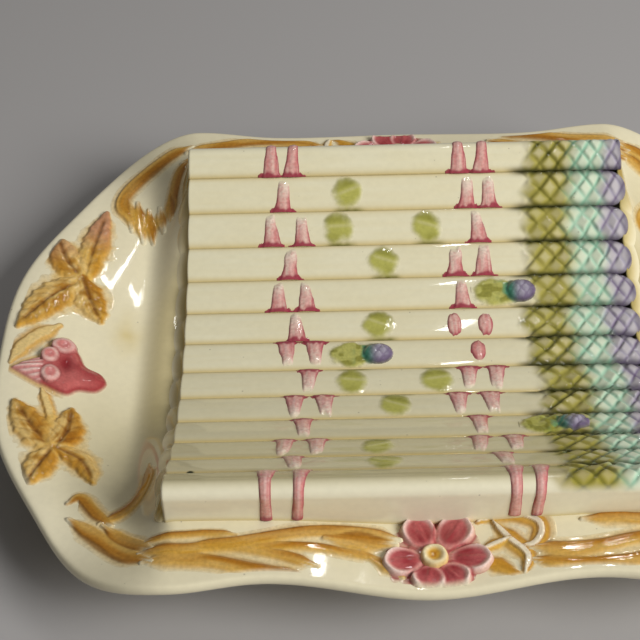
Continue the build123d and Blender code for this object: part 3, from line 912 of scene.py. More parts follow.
    def inner(self, number: int) -> None:
        """Make one spear of the trough.

        Args:
            number: the spear's number.
        """
        form = self.form
        sheet = GridSheet(self.rows_along, self.rows_across)
        half = form.pitch / 2.0
        t = (2.0 * sheet.v - 1.0) * half
        ratio = np.abs(t) / half
        butt = -form.end - self.butt_bulge * (1.0 - ratio**2)
        tip = self.tip_end - self.tip_round * (1.0 - np.sqrt(np.clip(1.0 - (0.93 * ratio) ** 2.4, 0.0, 1.0)))
        x = butt + (tip - butt) * sheet.u
        height = self.crown(number, t) + self.scales(x, t, number)
        to_tip = np.clip((tip - x) / self.tip_fall, 0.0, 1.0)
        height = (height + self.tip_sink) * np.sqrt(1.0 - (1.0 - to_tip) ** 2) - self.tip_sink
        height -= self.round_off(x - butt)
        height = np.where(sheet.u == 0.0, height - self.butt_drop, height)
        mesh = sheet.shape(self.place(number, x, t, height))
        lay_paint(mesh, self.stalk_paint(x, t, number))
        name = f"spear_{number:02d}"
        dress(mesh, name, [name], Finish.SPEAR, self.back)

    def outer(self, number: int) -> None:
        """Make one of the two spears that roll over a crest and come down to the rim.

        Args:
            number: the spear's number, the first or the last.
        """
        form = self.form
        side = 1 if number == 1 else -1
        along = form.roll(side)[2]
        sheet = GridSheet(self.rows_along, self.roll_rows)
        s = (sheet.v if side > 0 else 1.0 - sheet.v) * along[-1]
        t = side * (s - form.pitch / 2.0)
        x = -form.end + 2.0 * form.end * sheet.u
        lift = self.scales(x, t, number) * smooth((19.0 - s) / 4.0) * smooth(s / 1.5)
        lift -= self.round_off(np.minimum(x + form.end, form.end - x))
        points = self.place(number, x, t, lift)
        floor = PLATE.upper(points[:, 0], points[:, 1]) - self.rim_tuck
        points[:, 2] = np.maximum(points[:, 2], floor)
        mesh = sheet.shape(points, keep=points[:, 2] > floor + 0.001)
        paint = self.stalk_paint(x, np.clip(t, -form.pitch, form.pitch), number)
        plain = blend(coat(Tone.SPEAR, len(x)), Tone.CREAM_LIGHT, np.full(len(x), 0.4))
        # Over its crest the roll turns plain, lighter cream, so the front roll's painted shade ends there.
        scaled = smooth((x - form.scale_start + 5.0) / 6.0)
        fade = smooth((s - 11.0 - 6.5 * scaled) / (8.0 - 3.0 * scaled))[:, None]
        paint = paint * (1.0 - fade) + plain * fade
        crease = hump((points[:, 2] - floor - self.rim_tuck) / 1.6)
        paint = blend(paint, Tone.STAIN_AND_SHADE, 0.9 * crease)
        lay_paint(mesh, paint[sheet.kept])
        name = f"spear_{number:02d}"
        dress(mesh, name, [name], Finish.SPEAR, self.back)

    def end_section(self) -> tuple[Array, Array]:
        """Upper edge of an end wall across all spears, front to back.

        Returns:
            Points (Y, Z) a little under the spears' faces, and how far each bulges, 0 to 1.
        """
        form = self.form
        edge, bulge = [], []
        for number in range(form.count, 0, -1):
            outer = number in (1, form.count)
            reach = self.roll_reach if outer else form.pitch
            t = np.linspace(-form.pitch / 2.0, reach - form.pitch / 2.0, 14)
            t = -t[::-1] if number == form.count else t
            points = self.place(number, np.zeros(len(t)), t, self.crown(number, t) - self.end_under)
            edge.append(points[:, 1:])
            bulge.append(np.zeros(len(t)) if outer else 1.0 - (2.0 * t / form.pitch) ** 2)
        return np.vstack(edge), np.concatenate(bulge)

    def ends(self) -> None:
        """Make the cradle's two end walls, fluted under each butt end and sloping out to the platter."""
        edge, bulge = self.end_section()
        graph = bmesh.new()
        for end in (-1, 1):
            sheet = GridSheet(len(edge) - 1, 12)
            column = np.rint(sheet.u * (len(edge) - 1)).astype(int)
            column = column if end > 0 else len(edge) - 1 - column
            down = 1.0 - sheet.v
            y, z = edge[column].T
            out = self.form.end - self.end_inset + self.flute_bulge * bulge[column] * down * (1.3 - 0.3 * down)
            aside = np.minimum(column, len(edge) - 1 - column) / (0.04 * len(edge))
            out += self.end_skirt * smooth(aside) * down**1.5
            foot = PLATE.upper(end * out, y) - self.end_tuck
            points = np.column_stack([end * out, y, np.maximum(z + (foot - z) * down, foot)])
            graph.from_mesh(sheet.shape(points))
        mesh = mesh_from(graph, "cradle_ends")
        spot = vertices(mesh)
        above = spot[:, 2] - PLATE.upper(spot[:, 0], spot[:, 1])
        colour = coat(Tone.CREAM, len(spot))
        # Painted shade: the end walls turn yellow and then dark upwards, towards the butt ends.
        colour = blend(colour, Tone.STAIN_AND_SHADE, 0.8 * smooth((above + 0.5) / 3.0))
        colour = blend(colour, Tone.SHADE, 0.85 * smooth(above / 6.0))
        lay_paint(mesh, colour)
        dress(mesh, "cradle_ends", ["cradle"], Finish.CREAM, self.back)

    def build(self) -> None:
        """Make all the spears and the cradle's ends."""
        for number in range(2, self.form.count):
            self.inner(number)
        self.outer(1)
        self.outer(self.form.count)
        self.ends()


BED = SpearBed()


@dataclass
class StalkTrim:
    """What lies on the stalks: two ties of flared straps and plain pads, leaf bracts and side buds."""

    bed: SpearBed = field(default_factory=lambda: BED)
    strap_half: float = 2.2
    strap_flare: float = 2.0
    strap_rise: float = 0.85
    roll_length: float = 34.0
    edge_sink: float = 0.16
    pad_half: Point = (3.3, 6.6)
    pad_place: float = 8.0
    step: float = 0.5
    back: float = 0.4
    last_lower_flare: int = 6
    plain_spears: tuple[int, ...] = (6, 7)
    left_places: tuple[tuple[float, ...], ...] = (
        (-63.0, -53.0), (-57.5,), (-63.5, -49.0), (-54.5,), (-60.0, -47.5), (-52.0,), (-56.0, -43.5), (-46.5,),
        (-52.5, -39.5), (-48.5,), (-56.5, -43.0), (-52.0,), (-62.5, -49.0))
    right_places: tuple[tuple[float, ...], ...] = (
        (25.5, 36.5), (29.0, 39.0), (33.0,), (22.0, 35.0), (24.0,), (19.5, 33.5), (29.0,), (23.5, 35.5),
        (18.0, 32.0), (25.5,), (23.5, 38.0), (32.0,), (33.5, 43.5))
    bract_half: Point = (7.4, 8.4)
    bud_half: Point = (6.6, 6.0)
    bud_rise: float = 3.2
    bud_places: tuple[tuple[int, float], ...] = ((5, 51.0), (7, -15.5), (10, 64.0))

    def patch(self, number: int, low: Point, high: Point, shape: Shape) -> bpy.types.Mesh:
        """Raise a small sheet from a spear's face.

        Args:
            number: the spear's number.
            low: least place along and across the spear in mm.
            high: greatest place along and across it.
            shape: gives height over the face and colour, from place along, place across and bare colour.

        Returns:
            The painted mesh.
        """
        columns = max(4, round((high[0] - low[0]) / self.step))
        rows = max(4, round((high[1] - low[1]) / self.step))
        sheet = GridSheet(columns, rows)
        x = low[0] + (high[0] - low[0]) * sheet.u
        t = low[1] + (high[1] - low[1]) * sheet.v
        inner = np.clip(t, -self.bed.form.pitch, self.bed.form.pitch)
        lift, colour = shape(x, t, self.bed.stalk_paint(x, inner, number))
        face = self.bed.crown(number, t) + self.bed.scales(x, t, number) * (1 < number < self.bed.form.count)
        mesh = sheet.shape(self.bed.place(number, x, t, face + lift), keep=lift > -0.1)
        lay_paint(mesh, colour[sheet.kept])
        return mesh

    def strap(self, number: int, at: float, seed: int, plain: bool) -> bpy.types.Mesh:
        """Make one strap over a spear, flared and dark at its foot in the groove, or one plain oval pad.

        Args:
            number: the spear's number.
            at: place of its middle along the spear in mm.
            seed: picks its streaks and its lean.
            plain: whether it is a pad.

        Returns:
            The painted mesh.
        """
        half = self.bed.form.pitch / 2.0
        outer = number in (1, self.bed.form.count)
        length = self.roll_length if outer else self.bed.form.pitch
        lower = number <= self.last_lower_flare
        lean = 0.07 * math.sin(5.1 * seed)
        line, _, run = self.bed.form.roll(1 if number == 1 else -1)
        rim = float(np.interp(0.0, PLATE.upper(np.full(len(run), at), line[:, 0]) - line[:, 1], run))

        def shape(x: Array, t: Array, bare: Array) -> tuple[Array, Array]:
            """Height and colour of the strap.

            Args:
                x: place along the spear in mm.
                t: place across it in mm.
                bare: the stalk's colours.

            Returns:
                Heights over the face in mm, and colours.
            """
            q = (t + half) if lower else (half - t)
            wide = self.strap_half + self.strap_flare * np.clip(1.0 - q / self.bed.form.pitch, 0.0, 1.0) ** 1.4
            wide = wide + 0.9 * hump(q / 1.4) + 0.25 * grain(q, q * 0.0, 4.0, seed)
            streak = grain(x - at, q / 9.0, 0.8, seed + 3)
            r = np.abs(x - at + lean * (q - half)) / wide + 0.08 * streak
            if plain:
                long, wide = self.pad_half
                r = np.hypot((x - at) / long, (q - self.pad_place) / wide) + 0.10 * streak
            far = length - 0.6 - q + 1.5 * grain(x, x * 0.0, 2.5, seed)
            stop = np.ones(len(q)) if outer else smooth(far / 5.0)
            body = smooth((1.10 - r) / 0.40)
            arch = 0.85 + 0.15 * np.cos(4.4 * r)
            lift = self.strap_rise * body * stop * arch - self.edge_sink * (1.0 - body * stop)
            teeth = 1.6 + 1.2 * grain(x, x * 0.0, 1.3, seed + 7)
            foot = hump(q / teeth) * smooth((1.55 + 0.3 * streak - r) / 0.4) * (not plain)
            lift = np.maximum(lift, 0.22 * smooth(foot / 0.5) - self.edge_sink)
            speck = smooth((grain(x, q, 0.9, seed + 11) - 0.15) / 0.4)
            fade = np.ones(len(q)) if outer or plain else smooth((length - q - 1.5) / (0.70 * length))
            colour = blend(bare, Tone.PINK_PALE, 0.7 * smooth((1.2 - r) / 0.3) * stop)
            colour = blend(colour, Tone.PINK, smooth((1.2 - r) / 0.3) * stop * fade * (0.75 + 0.45 * streak))
            sheen = smooth(0.2 + 0.8 * streak)
            colour = blend(colour, Tone.PINK_PALE, 0.55 * smooth((0.6 - r) / 0.5) * sheen)
            seam = hump((r - 0.98) / 0.20)
            colour = blend(colour, Tone.MADDER, 0.9 * seam * stop * (0.25 + 0.75 * fade))
            colour = blend(colour, Tone.ROSE, 0.35 * speck * body * stop)
            if outer:
                foot = np.maximum(foot, hump((q - rim) / (1.1 + teeth)) * smooth((1.35 - r) / 0.30))
            colour = blend(colour, Tone.MADDER, 0.95 * smooth(foot / 0.6))
            return lift, colour

        span = (-half, length - half) if lower else (half - length, half)
        reach = self.strap_half + self.strap_flare + 2.2
        return self.patch(number, (at - reach, span[0]), (at + reach, span[1]), shape)

    def tie(self, name: str, places: Sequence[tuple[float, ...]]) -> None:
        """Make one tie: all its straps, spear by spear.

        Args:
            name: the tie's name.
            places: for each spear, from the back, where its straps lie along it in mm.
        """
        graph = bmesh.new()
        for index, along in enumerate(places):
            for turn, at in enumerate(along):
                plain = name == "right_tie" and index + 1 in self.plain_spears
                graph.from_mesh(self.strap(index + 1, at, 2 * index + turn, plain))
        dress(mesh_from(graph, name), name, [name], Finish.PINK, self.back)

    def bract(self, number: int, at: float) -> bpy.types.Mesh:
        """Make one soft green leaf scale, with a pale vein.

        Args:
            number: the spear's number.
            at: place of its middle along the spear in mm.

        Returns:
            The painted mesh.
        """
        long, wide = self.bract_half
        slant = 0.5 * math.sin(2.3 * number + at)

        def shape(x: Array, t: Array, bare: Array) -> tuple[Array, Array]:
            """Height and colour of the bract.

            Args:
                x: place along the spear in mm.
                t: place across it in mm.
                bare: the stalk's colours.

            Returns:
                Heights over the face in mm, and colours.
            """
            r = ((x - at) / long) ** 2 + (t / wide) ** 2
            r = r + 0.22 * grain(x, t, 5.0, number) + 0.08 * grain(x, t, 1.6, 2)
            body = smooth((1.0 - r) / 0.7)
            lift = 0.14 * smooth((1.35 - r) / 0.35) + 0.28 * body - 0.11
            vein = (t - slant * (x - at) - 1.0) / 0.9
            tone = 0.5 + 0.5 * grain(x, t, 4.0, number + 6)
            colour = blend(bare, Tone.BRACT, 0.95 * smooth((1.1 - r) / 0.8))
            colour = blend(colour, Tone.BRACT_DEEP, 0.6 * body * tone * smooth((np.abs(t) - 1.0) / 6.0))
            cap = smooth((t - slant * (x - at) - 1.5) / 2.5) * smooth((1.15 - r) / 0.5)
            colour = blend(colour, Tone.BRACT_DEEP, 0.55 * cap * (0.6 + 0.4 * tone))
            colour = blend(colour, Tone.CREAM, 0.22 * hump(vein) * body * smooth((x - at + 0.8 * long) / 3.0))
            return lift + 0.08 * hump(vein) * body, colour

        return self.patch(number, (at - 1.25 * long, -8.7), (at + 1.25 * long, 8.7), shape)

    def bud(self, number: int, at: float) -> None:
        """Make one side bud: a round purple bud that looks out of a green leaf.

        Args:
            number: the spear's number.
            at: place of the bud's middle along the spear in mm.
        """
        long, wide = self.bud_half

        def shape(x: Array, t: Array, bare: Array) -> tuple[Array, Array]:
            """Height and colour of the bud.

            Args:
                x: place along the spear in mm.
                t: place across it in mm.
                bare: the stalk's colours.

            Returns:
                Heights over the face in mm, and colours.
            """
            r = np.sqrt(((x - at) / long) ** 2 + (t / wide) ** 2)
            dome = np.sqrt(np.clip(1.0 - r**2, 0.0, 1.0))
            crease = np.abs(np.sin(0.75 * (x - at) + 0.5 * t)) * np.abs(np.sin(0.75 * (x - at) - 0.5 * t))
            leaf = ((x - at + 11.0) / 11.5) ** 2 + (t / 7.6) ** 2 + 0.25 * grain(x, t, 3.0, number)
            body = smooth((1.0 - leaf) / 0.5)
            film = 0.14 * smooth((1.45 - leaf) / 0.35) + 0.5 * body - 0.11
            lift = np.where(r < 1.0, np.maximum(self.bud_rise * dome * (0.9 + 0.1 * crease), film), film)
            colour = blend(bare, Tone.BRACT, 0.9 * smooth((1.1 - leaf) / 0.5))
            spots = smooth((grain(x, t, 3.2, number + 1) + 0.1) / 0.5)
            veins = smooth((grain(x, t, 2.6, number + 2) - 0.1) / 0.4)
            colour = blend(colour, Tone.BRACT_DEEP, 0.7 * body * veins)
            colour = blend(colour, Tone.TEAL, 0.7 * body * spots * smooth((x - at + 13.0) / 7.0))
            ball = smooth((1.1 - r) / 0.2)
            colour = blend(colour, Tone.LAVENDER, ball)
            colour = blend(colour, Tone.PURPLE, ball * (0.25 + 0.75 * smooth((r - 0.45) / 0.5)))
            colour = blend(colour, Tone.PURPLE, 0.6 * ball * (1.0 - smooth(crease / 0.5)))
            colour = blend(colour, Tone.TEAL, 0.9 * hump((x - at + 5.6) / 2.8) * smooth((1.3 - r) / 0.3))
            aside = smooth((np.abs(t) - 1.5) / 2.0)
            colour = blend(colour, Tone.DARK_PAINT_AND_SHADE, 0.6 * hump((r - 1.05) / 0.14) * aside)
            return lift, colour

        mesh = self.patch(number, (at - 23.0, -8.2), (at + 8.5, 8.2), shape)
        name = f"side_bud_{number:02d}"
        dress(mesh, name, [name], Finish.BUD, self.back)

    def build(self) -> None:
        """Make ties, bracts and buds."""
        self.tie("left_tie", self.left_places)
        self.tie("right_tie", self.right_places)
        graph = bmesh.new()
        for number, at in self.bed.bracts:
            graph.from_mesh(self.bract(number, at))
        dress(mesh_from(graph, "stalk_bracts"), "stalk_bracts", ["stalk_bracts"], Finish.GREEN, self.back)
        for number, at in self.bud_places:
            self.bud(number, at)


@dataclass(frozen=True)
class Strand:
    """One ribbon strand.

    It has a line in plan, a width and a height in mm, how pale its ridge is, and the mm over which its ends
    fade.
    """

    points: tuple[Point, ...]
    width: float = 5.0
    rise: float = 0.9
    pale: float = 0.0
    fade: float = 7.0


@dataclass(frozen=True)
class Leaf:
    """One leaf.

    It has a line from hub to tip in plan, a width in mm, how mauve and how dark it is, and which of its sides
    is darker.
    """

    points: tuple[Point, ...]
    width: float = 13.0
    mauve: float = 0.0
    depth: float = 0.5
    turn: float = -1.0


@dataclass
class Mouldings:
    """Ornament on the rim: sheets raised from the platter's face, each with a twin turned half round."""

    step: float = 0.5
    sink: float = 0.25
    skin: float = 0.05
    back: float = 0.8
    lip_gap: float = 0.004
    fade_gap: float = 0.006
    fade_width: float = 0.018
    ribbon_margin: float = 6.0
    spray_margin: float = 8.0
    flower_reach: float = 24.0
    boss_reach: float = 8.0
    leaf_rise: float = 1.8
    midrib_depth: float = 0.7
    vein_rise: float = 0.14
    petal_rise: float = 1.7
    petal_rim: float = 0.9
    boss_rise: float = 2.2
    boss_ring: float = 1.0
    bell_edge: float = 1.2
    bell_swell: float = 1.8
    lobe_base: float = 2.6
    lobe_rise: float = 1.5
    throat_depth: float = 1.5

    def sheet(self, low: Point, high: Point, shape: Shape, turned: bool) -> bpy.types.Mesh:
        """Raise a sheet from the platter's face.

        Args:
            low: least X and Y in mm.
            high: greatest X and Y in mm.
            shape: gives the height over the face and the colour, from X, Y and the bare colour.
            turned: whether the sheet is turned half round the plate's middle.

        Returns:
            The painted mesh.
        """
        grid = GridSheet(round((high[0] - low[0]) / self.step), round((high[1] - low[1]) / self.step))
        x = low[0] + (high[0] - low[0]) * grid.u
        y = low[1] + (high[1] - low[1]) * grid.v
        height = PLATE.upper(x, y)
        bare = PLATTER.paint(np.column_stack([x, y, height]))
        lift, colour = shape(x, y, bare)
        share = PLATE.share(x, y)
        inside = share < PLATE.lip_share - self.lip_gap
        fade = smooth((PLATE.lip_share - self.fade_gap - share) / self.fade_width)
        lift = fade * lift - (1.0 - fade) * self.sink
        colour = colour * fade[:, None] + bare * (1.0 - fade[:, None])
        points = np.column_stack([x, y, height + lift])
        if turned:
            points[:, :2] *= -1.0
        mesh = grid.shape(points, keep=(lift > 0.5 * -self.sink) & inside)
        lay_paint(mesh, colour[grid.kept])
        return mesh

    def film(self, lift: Array, halo: Array) -> Array:
        """Raise heights to a thin painted film where a halo of colour lies, its edge sunk into the face."""
        return np.where(halo > 0.005, np.maximum(lift, self.skin - 0.11 * (1.0 - smooth(halo / 0.25))), lift)

    def pair(self, names: tuple[str, str], finish: Finish, low: Point, high: Point, shape: Shape) -> None:
        """Make a moulding and its twin on the opposite side."""
        for name, turned in zip(names, (False, True)):
            dress(self.sheet(low, high, shape, turned), name, [name], finish, self.back)

    def around(self, items: Sequence[Strand | Leaf], margin: float) -> tuple[Point, Point]:
        """Least and greatest X and Y round strands and leaves, with a margin, in mm."""
        places = np.vstack([item.points for item in items])
        return tuple(places.min(axis=0) - margin), tuple(places.max(axis=0) + margin)

    def ribbon(self, names: tuple[str, str], strands: Sequence[Strand]) -> None:
        """Make a group of brushed ribbon strands, and its twin.

        Args:
            names: names of the group and of its twin.
            strands: the strands, later ones over earlier ones.
        """

        def shape(x: Array, y: Array, base: Array) -> tuple[Array, Array]:
            """Height and colour of the strands.

            Args:
                x: first coordinates in mm.
                y: second coordinates in mm.
                base: the bare platter's colours.

            Returns:
                Heights over the face in mm, and colours.
            """
            lift = np.full(len(x), -self.sink)
            colour = base
            for index, item in enumerate(strands):
                field_ = beside(rounded_path(item.points), x, y)
                ends = np.minimum(field_.along, field_.length - field_.along)
                half = item.width / 2.0 * (0.35 + 0.65 * smooth(ends / (1.5 * item.width)))
                hair = grain(field_.along / 16.0, field_.side, 0.7, index + 1)
                broad = grain(field_.along / 5.0, field_.side, 2.4, index + 4)
                r = field_.distance / half + 0.14 * hair + 0.10 * broad
                body = smooth((1.15 - r) / 0.50)
                worn = smooth((ends + 3.5 * hair + 1.0) / item.fade)
                lift = np.maximum(lift, item.rise * body * (0.88 + 0.12 * hair) - self.sink * (1.0 - body))
                lean = smooth(0.45 + 0.65 * field_.side / half + 0.35 * broad)
                halo = 0.50 * worn * smooth((2.0 - r) / 1.1)
                lift = self.film(lift, halo)
                colour = blend(colour, Tone.TAN, halo)
                colour = blend(colour, Tone.OCHRE, worn * body * (0.85 + 0.15 * broad))
                colour = blend(colour, Tone.TAN, 0.45 * worn * body * (1.0 - lean) * smooth(0.4 + hair))
                colour = blend(colour, Tone.AMBER, worn * body * lean * (0.85 + 0.15 * hair))
                colour = blend(colour, Tone.BROWN, 0.50 * worn * hump((r - 0.85) / 0.28) * lean)
                colour = blend(colour, Tone.OCHRE, max(-item.pale, 0.0) * body)
                colour = blend(colour, Tone.CREAM_LIGHT, max(item.pale, 0.0) * smooth((0.85 - r) / 0.35))
            return lift, colour

        self.pair(names, Finish.RIBBON, *self.around(strands, self.ribbon_margin), shape)

    def spray(self, names: tuple[str, str], leaves: Sequence[Leaf], stems: Sequence[Strand]) -> None:
        """Make a spray of veined leaves on short stems, and its twin.

        Args:
            names: names of the spray and of its twin.
            leaves: the leaves, later ones over earlier ones.
            stems: the stems, which lie under the leaves.
        """

        def shape(x: Array, y: Array, base: Array) -> tuple[Array, Array]:
            """Height and colour of the spray.

            Args:
                x: first coordinates in mm.
                y: second coordinates in mm.
                base: the bare platter's colours.

            Returns:
                Heights over the face in mm, and colours.
            """
            lift = np.full(len(x), -self.sink)
            colour = base
            for item in stems:
                field_ = beside(rounded_path(item.points), x, y)
                ends = np.minimum(field_.along, field_.length - field_.along)
                half = item.width / 2.0 * (0.3 + 0.7 * smooth(ends / (1.1 * item.width)))
                r = field_.distance / half + 0.12 * grain(x, y, 1.8, 4)
                body = smooth((1.15 - r) / 0.6)
                lift = np.maximum(lift, item.rise * body - self.sink * (1.0 - body))
                halo = 0.85 * smooth((1.8 - r) / 1.0)
                lift = self.film(lift, halo)
                colour = blend(colour, Tone.OCHRE, halo)
                colour = blend(colour, Tone.LEAF_LIGHT, (0.4 + item.pale) * smooth((0.8 - r) / 0.4))
            for index, item in enumerate(leaves):
                field_ = beside(rounded_path(item.points, 12), x, y)
                ratio = field_.along / field_.length
                beyond = np.sqrt(np.maximum(field_.distance**2 - field_.side**2, 0.0))
                swell = np.sin(np.pi * np.clip(0.05 + 0.92 * ratio, 0.0, 1.0) ** 0.9) ** 0.70
                half = item.width / 2.0 * swell
                half = half * (1.0 + 0.05 * np.sin(2.0 * np.pi * field_.along / 7.5 + index)) + 0.3
                r = np.abs(field_.side) / half + beyond / 0.9 + 0.10 * grain(x, y, 1.8, index + 3)
                body = smooth((1.1 - r) / 0.40)
                veins = np.sin(2.0 * np.pi * (field_.along - 0.9 * np.abs(field_.side)) / 6.4)
                middle = hump(field_.side / 0.9) * smooth((0.96 - ratio) / 0.15)
                arch = self.leaf_rise * (1.0 - 0.55 * np.clip(r, 0.0, 1.0) ** 2)
                arch = arch - self.midrib_depth * middle + self.vein_rise * veins
                lift = np.where(body > 0.02, np.maximum(lift, arch * body - self.sink * (1.0 - body)), lift)
                tone = grain(x, y, 3.4, index + 2)
                shade = smooth(0.5 + 0.8 * field_.side / half * item.turn + 0.5 * tone)
                halo = 0.55 * smooth((1.7 - r + 0.25 * tone) / 0.8)
                lift = self.film(lift, halo)
                hair = grain(field_.along / 5.0 - np.abs(field_.side) / 4.0, field_.side, 0.8, index + 8)
                shade = np.clip(shade + 0.35 * hair, 0.0, 1.0)
                colour = blend(colour, Tone.TAN, halo)
                colour = blend(colour, Tone.TAN, 0.95 * body)
                colour = blend(colour, Tone.LEAF_LIGHT, 0.75 * body * (1.0 - shade))
                colour = blend(colour, Tone.OCHRE, body * (0.20 + 0.65 * shade))
                colour = blend(colour, Tone.AMBER, body * item.depth * shade * smooth(1.2 - ratio))
                dark = np.clip(item.depth - 0.35, 0.0, 1.0)
                colour = blend(colour, Tone.BROWN, body * dark * shade * smooth(0.9 - r))
                colour = blend(colour, Tone.MAUVE_TAN, 0.9 * item.mauve * body * smooth((ratio - 0.35) / 0.4))
                lines = 0.75 * middle + 0.35 * item.depth * smooth((-0.5 - veins) / 0.5)
                colour = blend(colour, Tone.BROWN, body * lines)
                colour = blend(colour, Tone.AMBER, 0.45 * hump((r - 1.0) / 0.14) * body)
            return lift, colour

        self.pair(names, Finish.LEAF, *self.around((*leaves, *stems), self.spray_margin), shape)

    def flower(self, names: tuple[str, str], centres: tuple[str, str]) -> None:
        """Make the six-petalled flower and its boss, and their twins.

        Args:
            names: names of the flower and of its twin.
            centres: names of the boss and of its twin.
        """
        middle = np.array((1.5, -123.6))
        # Each petal's bearing in degrees, its distance from the middle, half length and half width in mm.
        petals = ((114.0, 12.4, 7.8, 7.0), (54.0, 13.6, 8.6, 7.4), (-6.0, 13.6, 8.6, 6.6),
                  (-54.0, 11.2, 6.8, 6.4), (-106.0, 9.8, 5.9, 6.8), (-170.0, 12.0, 8.0, 6.8))

        def shape(x: Array, y: Array, base: Array) -> tuple[Array, Array]:
            """Height and colour of the petals.

            Args:
                x: first coordinates in mm.
                y: second coordinates in mm.
                base: the bare platter's colours.

            Returns:
                Heights over the face in mm, and colours.
            """
            lift = np.full(len(x), -self.sink)
            colour = base
            dx, dy = x - middle[0], y - middle[1]
            out = np.hypot(dx, dy)
            blush = 0.60 * smooth((20.0 - out + 1.5 * grain(x, y, 3.0, 7)) / 4.0)
            lift = self.film(lift, blush)
            colour = blend(colour, Tone.RASPBERRY, blush)
            core = smooth((12.0 - out) / 2.0)
            lift = np.maximum(lift, 0.8 * core - self.sink * (1.0 - core))
            for index, (bearing, reach, long, wide) in enumerate(petals):
                c, s = math.cos(math.radians(bearing)), math.sin(math.radians(bearing))
                a = (dx * c + dy * s - reach) / long
                b = (-dx * s + dy * c) / (wide * (1.0 + 0.18 * a))
                r = np.sqrt(a**2 + b**2) * (1.0 - 0.06 * hump(b / 0.25) * (a > 0))
                body = smooth((1.05 - r) / 0.20)
                outer = smooth((a + 0.5) / 0.9)
                rim = hump((r - 0.86) / 0.15)
                crease = hump(b / 0.12) * smooth((0.75 - r) / 0.3)
                height = self.petal_rise + self.petal_rim * rim * outer + 0.30 * crease + 0.6 * a
                lift = np.where(body > 0.02, np.maximum(lift, height * body - self.sink * (1.0 - body)), lift)
                tone = 0.5 + 0.5 * grain(a * 2.0, b * 9.0, 1.0, index + 1)
                hollow = smooth((0.88 - r) / 0.35)
                colour = blend(colour, Tone.ROSE, body)
                colour = blend(colour, Tone.PINK_PALE, 0.35 * body * tone)
                colour = blend(colour, Tone.RASPBERRY, body * hollow * (0.55 + 0.45 * tone))
                deep = 0.8 * body * hollow * smooth((0.35 - a) / 0.7)
                colour = blend(colour, Tone.CRIMSON, deep * (0.5 + 0.5 * tone))
                colour = blend(colour, Tone.PINK_PALE, 0.85 * rim * outer * body)
                colour = blend(colour, Tone.RASPBERRY, 0.8 * hump((r - 1.06) / 0.08))
            return lift, colour

        def boss(x: Array, y: Array, base: Array) -> tuple[Array, Array]:
            """Height and colour of the boss: a cream ring round an ochre hollow.

            Args:
                x: first coordinates in mm.
                y: second coordinates in mm.
                base: the bare platter's colours.

            Returns:
                Heights over the face in mm, and colours.
            """
            out = np.hypot(x - middle[0], y - middle[1]) + 0.2 * grain(x, y, 2.0, 3)
            body = smooth((6.0 - out) / 1.2)
            ring = hump((out - 3.9) / 1.3)
            lift = (self.boss_rise + self.boss_ring * ring) * body - self.sink * (1.0 - body)
            colour = blend(base, Tone.CRIMSON, smooth((7.0 - out) / 1.0))
            colour = blend(colour, Tone.TAN, smooth((6.0 - out) / 0.8))
            colour = blend(colour, Tone.CREAM, 0.7 * ring)
            colour = blend(colour, Tone.OCHRE, 0.9 * smooth((3.2 - out) / 1.4))
            colour = blend(colour, Tone.AMBER, 0.8 * smooth((1.8 - out + grain(x, y, 1.2, 4)) / 1.2))
            return lift, colour

        for pair, finish, reach, form in ((names, Finish.PINK, self.flower_reach, shape),
                                          (centres, Finish.CENTRE, self.boss_reach, boss)):
            self.pair(pair, finish, tuple(middle - reach), tuple(middle + reach), form)

    def bell(self, names: tuple[str, str]) -> None:
        """Make the tubular end flower and its twin: ribbed neck, three round lobes, dark throat, broad tongue.

        Args:
            names: names of the flower and of its twin.
        """
        edge = rounded_path((
            (-176.3, -11.7), (-170.4, -6.7), (-163.4, -2.6), (-161.2, 4.7), (-154.0, 9.0), (-148.3, 2.2),
            (-145.0, -4.2), (-138.3, -7.4), (-135.6, -13.0), (-139.3, -18.6), (-146.6, -20.0), (-151.6, -23.7),
            (-159.8, -21.0), (-167.1, -17.4), (-176.3, -11.7)))
        tongue = rounded_path(((-152.7, -4.6), (-145.1, -10.3), (-137.5, -13.4)))
        neck = rounded_path(((-176.0, -11.7), (-168.0, -11.6), (-160.0, -9.6)))
        # Each lobe's middle, half length and half width in mm.
        lobes = ((-155.0, 3.8, 5.4, 4.6), (-160.2, -3.0, 4.0, 4.6), (-158.8, -14.0, 4.2, 5.2))
        throat = (-153.4, -6.0)

